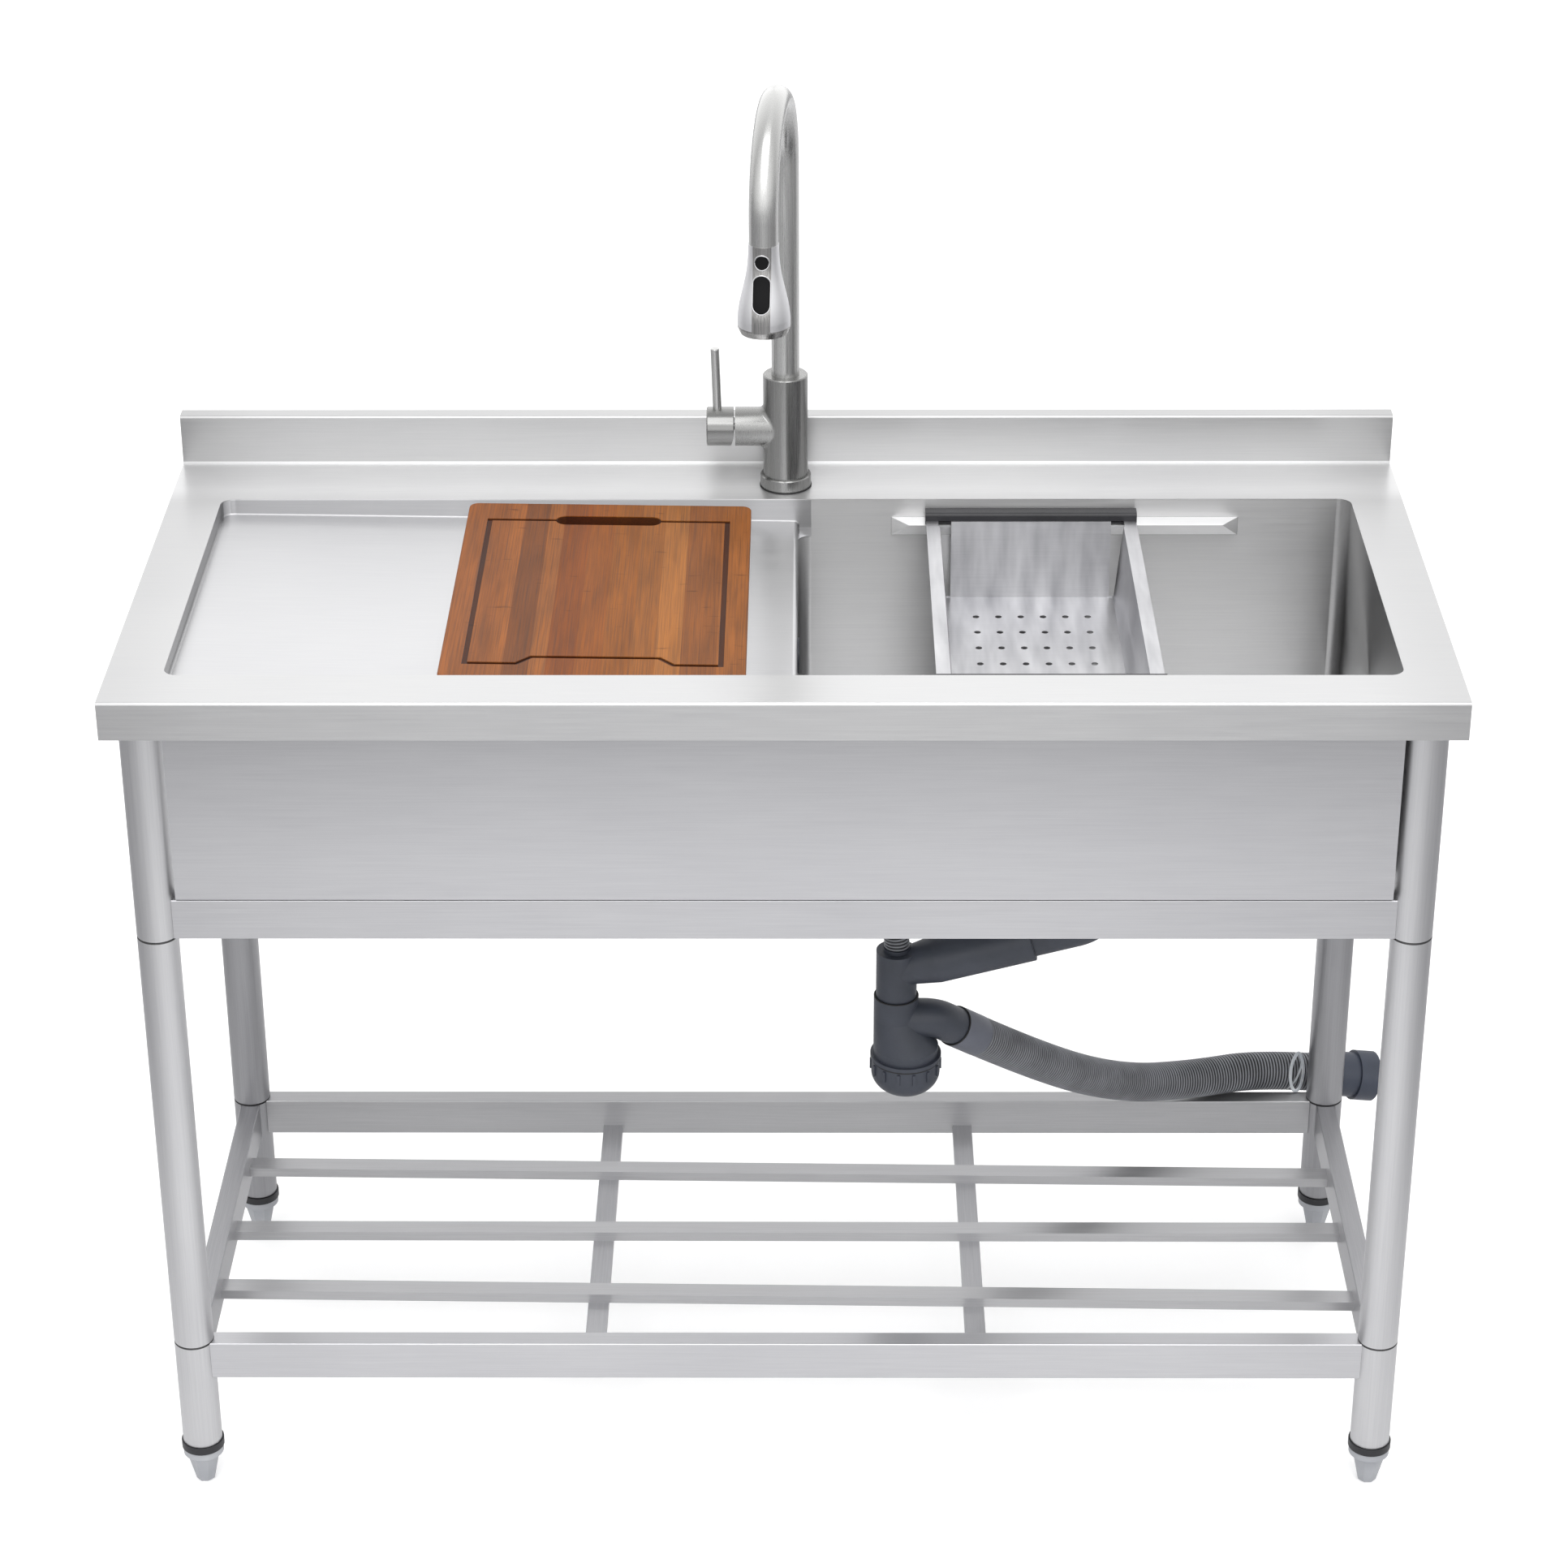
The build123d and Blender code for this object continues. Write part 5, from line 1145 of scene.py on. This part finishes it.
@dataclass
class SealRing:
    """Black rubber lip that shows as a line where two pipes join."""

    name: str
    centre: Triple
    axis: Triple
    radius_mm: float
    lip_mm: float
    sides: int = 64
    lip_sides: int = 10

    def build(self, materials: Finishes) -> None:
        """Builds the ring, which stays on the stand.

        Args:
            materials: Finishes by short name.
        """
        axis = Vector(self.axis).normalized()
        right = axis.orthogonal().normalized()
        up = axis.cross(right)
        sides, lip = self.sides, self.lip_sides
        points: list[Vector] = []
        faces: Faces = []
        for k in range(sides):
            turn = math.tau * k / sides
            ray = right * math.cos(turn) + up * math.sin(turn)
            middle = Vector(self.centre) + ray * self.radius_mm * MM
            for j in range(lip):
                roll = math.tau * j / lip
                points.append(middle + (ray * math.cos(roll) + axis * math.sin(roll)) * self.lip_mm * MM)
            a, b = k * lip, (k + 1) % sides * lip
            faces += [(a + j, b + j, b + (j + 1) % lip, a + (j + 1) % lip) for j in range(lip)]
        ring = mesh_object(self.name, points, faces)
        ring.data.materials.append(materials["rubber"])
        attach(ring, "stand")
        LOG.info("built %s", self.name)


@dataclass
class Studio:
    """White studio: a floor for the camera, a grey floor for light and reflections, and one soft box."""

    floor_half: float = 14.0
    horizon: float = 0.72
    zenith: float = 0.9
    far_side: float = 0.95
    near_side: float = 0.9
    low_card: tuple[Triple, ...] = ((-3, 1, 0), (3, 1, 0), (3, 1, 1.05), (-3, 1, 1.05))
    floor_white: str = "#FBFBFB"
    floor_glow: float = 0.14
    card_grey: str = "#E2E2E3"
    floor_near: str = "#E6E6E7"
    floor_far: str = "#8E8E90"
    fade_wide: Pair = (0.4, 1.6)
    fade_deep: Pair = (-1.1, -2.6)
    mirror_drop: float = 0.002
    overhead: float = 0.8
    box_place: Triple = (0.0, -1.5, 3.2)
    box_side: float = 2.2
    box_watts: float = 36.0
    aim_height: float = 0.7

    def build(self) -> None:
        """Makes the two floors, a low card that only reflections show, the surround and the light."""
        seen = self.panel("studio_floor", 0.0)
        seen.data.materials.append(self.paper("matt_white_paper_floor", self.floor_white, self.floor_glow))
        seen.visible_diffuse = seen.visible_glossy = seen.visible_shadow = False
        mirrored = self.panel("reflected_floor", -self.mirror_drop)
        mirrored.data.materials.append(self.fading_floor())
        mirrored.visible_camera = False
        card = mesh_object("low_card", [Vector(p) for p in self.low_card], [(0, 1, 2, 3)])
        card.data.materials.append(self.paper("matt_grey_card", self.card_grey, 0.0))
        card.visible_camera = card.visible_diffuse = card.visible_shadow = False
        self.surround()
        self.soft_box("key_soft_box")

    @staticmethod
    def paper(name: str, colour: str, glow: float) -> Material:
        """Builds matt paper.

        Args:
            name: The material's name.
            colour: Its sRGB hex colour.
            glow: How much it is lit from behind.

        Returns:
            The material.
        """
        material, tree = start_material(name)
        end_material(tree, {
            "Base Color": linear(colour),
            "Roughness": PAPER_ROUGHNESS,
            "Emission Color": linear(colour),
            "Emission Strength": glow,
        })
        return material

    def fading_floor(self) -> Material:
        """Builds the grey floor, which is darker away from the sink, as light falls off there.

        Returns:
            The material.
        """
        material, tree = start_material("matt_grey_paper_floor")
        axes = place_axes(tree)
        aside = add_node(tree, "Math", {"operation": "ABSOLUTE"}, {0: axes.outputs["X"]})
        wide = {"Value": aside, "From Min": self.fade_wide[0], "From Max": self.fade_wide[1]}
        deep = {"Value": axes.outputs["Y"], "From Min": self.fade_deep[0], "From Max": self.fade_deep[1]}
        away = add_node(
            tree, "Math", {"operation": "ADD", "use_clamp": True},
            {0: add_node(tree, "MapRange", None, wide), 1: add_node(tree, "MapRange", None, deep)},
        )
        stops = ((0.0, self.floor_near), (1.0, self.floor_far))
        end_material(tree, {
            "Base Color": add_node(tree, "ValToRGB", None, {"Fac": away}, stops),
            "Roughness": PAPER_ROUGHNESS,
        })
        return material

    def surround(self) -> None:
        """Makes the bright surround, lighter in front of the sink, behind it and overhead."""
        world = bpy.data.worlds.new("studio_surround")
        world.use_nodes = True
        tree = world.node_tree
        tree.nodes.clear()
        place = add_node(tree, "TexCoord")
        axes = add_node(tree, "SeparateXYZ", None, {"Vector": place.outputs["Generated"]})
        ahead, high = axes.outputs["Y"], axes.outputs["Z"]
        rise = {"Value": high, "From Max": self.overhead, "To Min": self.horizon, "To Max": self.zenith}
        behind = add_node(tree, "MapRange", None, {"Value": ahead, "To Max": self.far_side})
        before = add_node(
            tree, "MapRange", None, {"Value": ahead, "From Max": -1.0, "To Max": self.near_side}
        )
        sides = add_node(tree, "Math", {"operation": "ADD"}, {0: behind, 1: before})
        height = add_node(tree, "MapRange", None, rise)
        strength = add_node(tree, "Math", {"operation": "ADD"}, {0: sides, 1: height})
        back = add_node(tree, "Background", None, {"Color": linear("#FFFFFF"), "Strength": strength})
        add_node(tree, "OutputWorld", None, {"Surface": back})
        bpy.context.scene.world = world

    def panel(self, name: str, height: float) -> Object:
        """Adds one flat panel of the floor.

        Args:
            name: The panel's name.
            height: Its height in metres.

        Returns:
            The panel.
        """
        half = self.floor_half
        corners = ((-half, -half), (half, -half), (half, half), (-half, half))
        panel = mesh_object(name, [Vector((*corner, height)) for corner in corners], [(0, 1, 2, 3)])
        return panel

    def soft_box(self, name: str) -> None:
        """Adds the square soft box, which faces the sink.

        Args:
            name: The light's name.
        """
        light = bpy.data.lights.new(name, "AREA")
        light.size = self.box_side
        light.energy = self.box_watts
        lamp = bpy.data.objects.new(name, light)
        lamp.location = self.box_place
        aim = Vector((0.0, 0.0, self.aim_height)) - Vector(self.box_place)
        lamp.rotation_euler = aim.to_track_quat("-Z", "Y").to_euler()
        bpy.context.scene.collection.objects.link(lamp)


@dataclass
class Viewpoint:
    """Camera in front of the sink, a little above eye height, looking down at it."""

    place: Triple = (0.02286, -3.2877, 2.35599)
    pitch_deg: float = 27.486
    yaw_deg: float = 0.419
    roll_deg: float = -0.194
    lens_mm: float = 88.457
    sensor_mm: float = 36.0
    reach: float = 100.0

    def build(self) -> None:
        """Makes the camera and sets it as the scene's."""
        pitch, yaw, roll = (math.radians(a) for a in (self.pitch_deg, self.yaw_deg, self.roll_deg))
        right = Vector((math.cos(yaw), math.sin(yaw), 0.0))
        ahead = Vector((-math.sin(yaw) * math.cos(pitch), math.cos(yaw) * math.cos(pitch), -math.sin(pitch)))
        up = right.cross(ahead)
        tilted_right = right * math.cos(roll) + up * math.sin(roll)
        tilted_up = up * math.cos(roll) - right * math.sin(roll)
        camera = bpy.data.cameras.new("viewpoint")
        camera.lens = self.lens_mm
        camera.sensor_width = self.sensor_mm
        camera.clip_end = self.reach
        holder = bpy.data.objects.new("viewpoint", camera)
        turn = Matrix((tilted_right, tilted_up, -ahead)).transposed()
        holder.matrix_world = Matrix.Translation(self.place) @ turn.to_4x4()
        bpy.context.scene.collection.objects.link(holder)
        bpy.context.scene.camera = holder


def main() -> None:
    """Loads the frame, dresses it and sets the studio."""
    logging.basicConfig(level=logging.INFO, format="%(message)s")
    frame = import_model()
    bpy.context.scene.view_settings.view_transform = "Standard"
    Viewpoint().build()
    materials = finishes()
    tie = HoseTie().build(materials)
    RibbedHose(
        "ribbed_waste_hose", "waste_hose",
        (
            WASTE_START, (0.261676, 0.065981, 0.288599), (0.352, 0.149, 0.214), (0.430, 0.199, 0.1886),
            (0.505, 0.229, 0.184), WASTE_END,
        ),
        crest_mm=20.4, valley_mm=18.7, bore_mm=17.0, pitch_mm=3.4, far_end="connector", lay="hanging",
        cuff_mm=38.0, cuff_radius_mm=20.6,
    ).build(materials, (tie, frame["nodes"]["hose_end"]))
    RibbedHose(
        "ribbed_overflow_hose", "overflow_hose",
        (
            (-0.006, -0.0265, 0.775), (-0.006, -0.0265, 0.634), (0.1085, -0.0265, 0.55),
            (0.1085, -0.0265, 0.481),
        ),
        crest_mm=12.5, valley_mm=11.0, bore_mm=9.2, pitch_mm=3.6, far_end="object", lay="hanging",
    ).build(materials)
    SprayHose().build(materials)
    rims = (
        ButtonRim("stream_button_rim", height=1.163, radius_mm=6.8, straight_mm=0.0),
        ButtonRim("pause_button_rim", height=1.134, radius_mm=8.3, straight_mm=18.2),
    )
    for rim in rims:
        rim.build(frame, materials)
    seals = (
        SealRing("outlet_seal", WASTE_START, (0.61987, 0.49989, -0.60487), radius_mm=19.7, lip_mm=0.9),
        SealRing("neck_seal", (0.1085, -0.0265, 0.4262), (0.0, 0.0, 1.0), radius_mm=21.2, lip_mm=0.9),
    )
    for seal in seals:
        seal.build(materials)
    for finish in cad_finishes():
        finish.dress(frame, materials)
    # The photographed steel shows none of the board's brown, so reflections leave the board out.
    frame["nodes"]["cutting_board"].visible_glossy = False
    Studio().build()


if __name__ == "__main__":
    main()
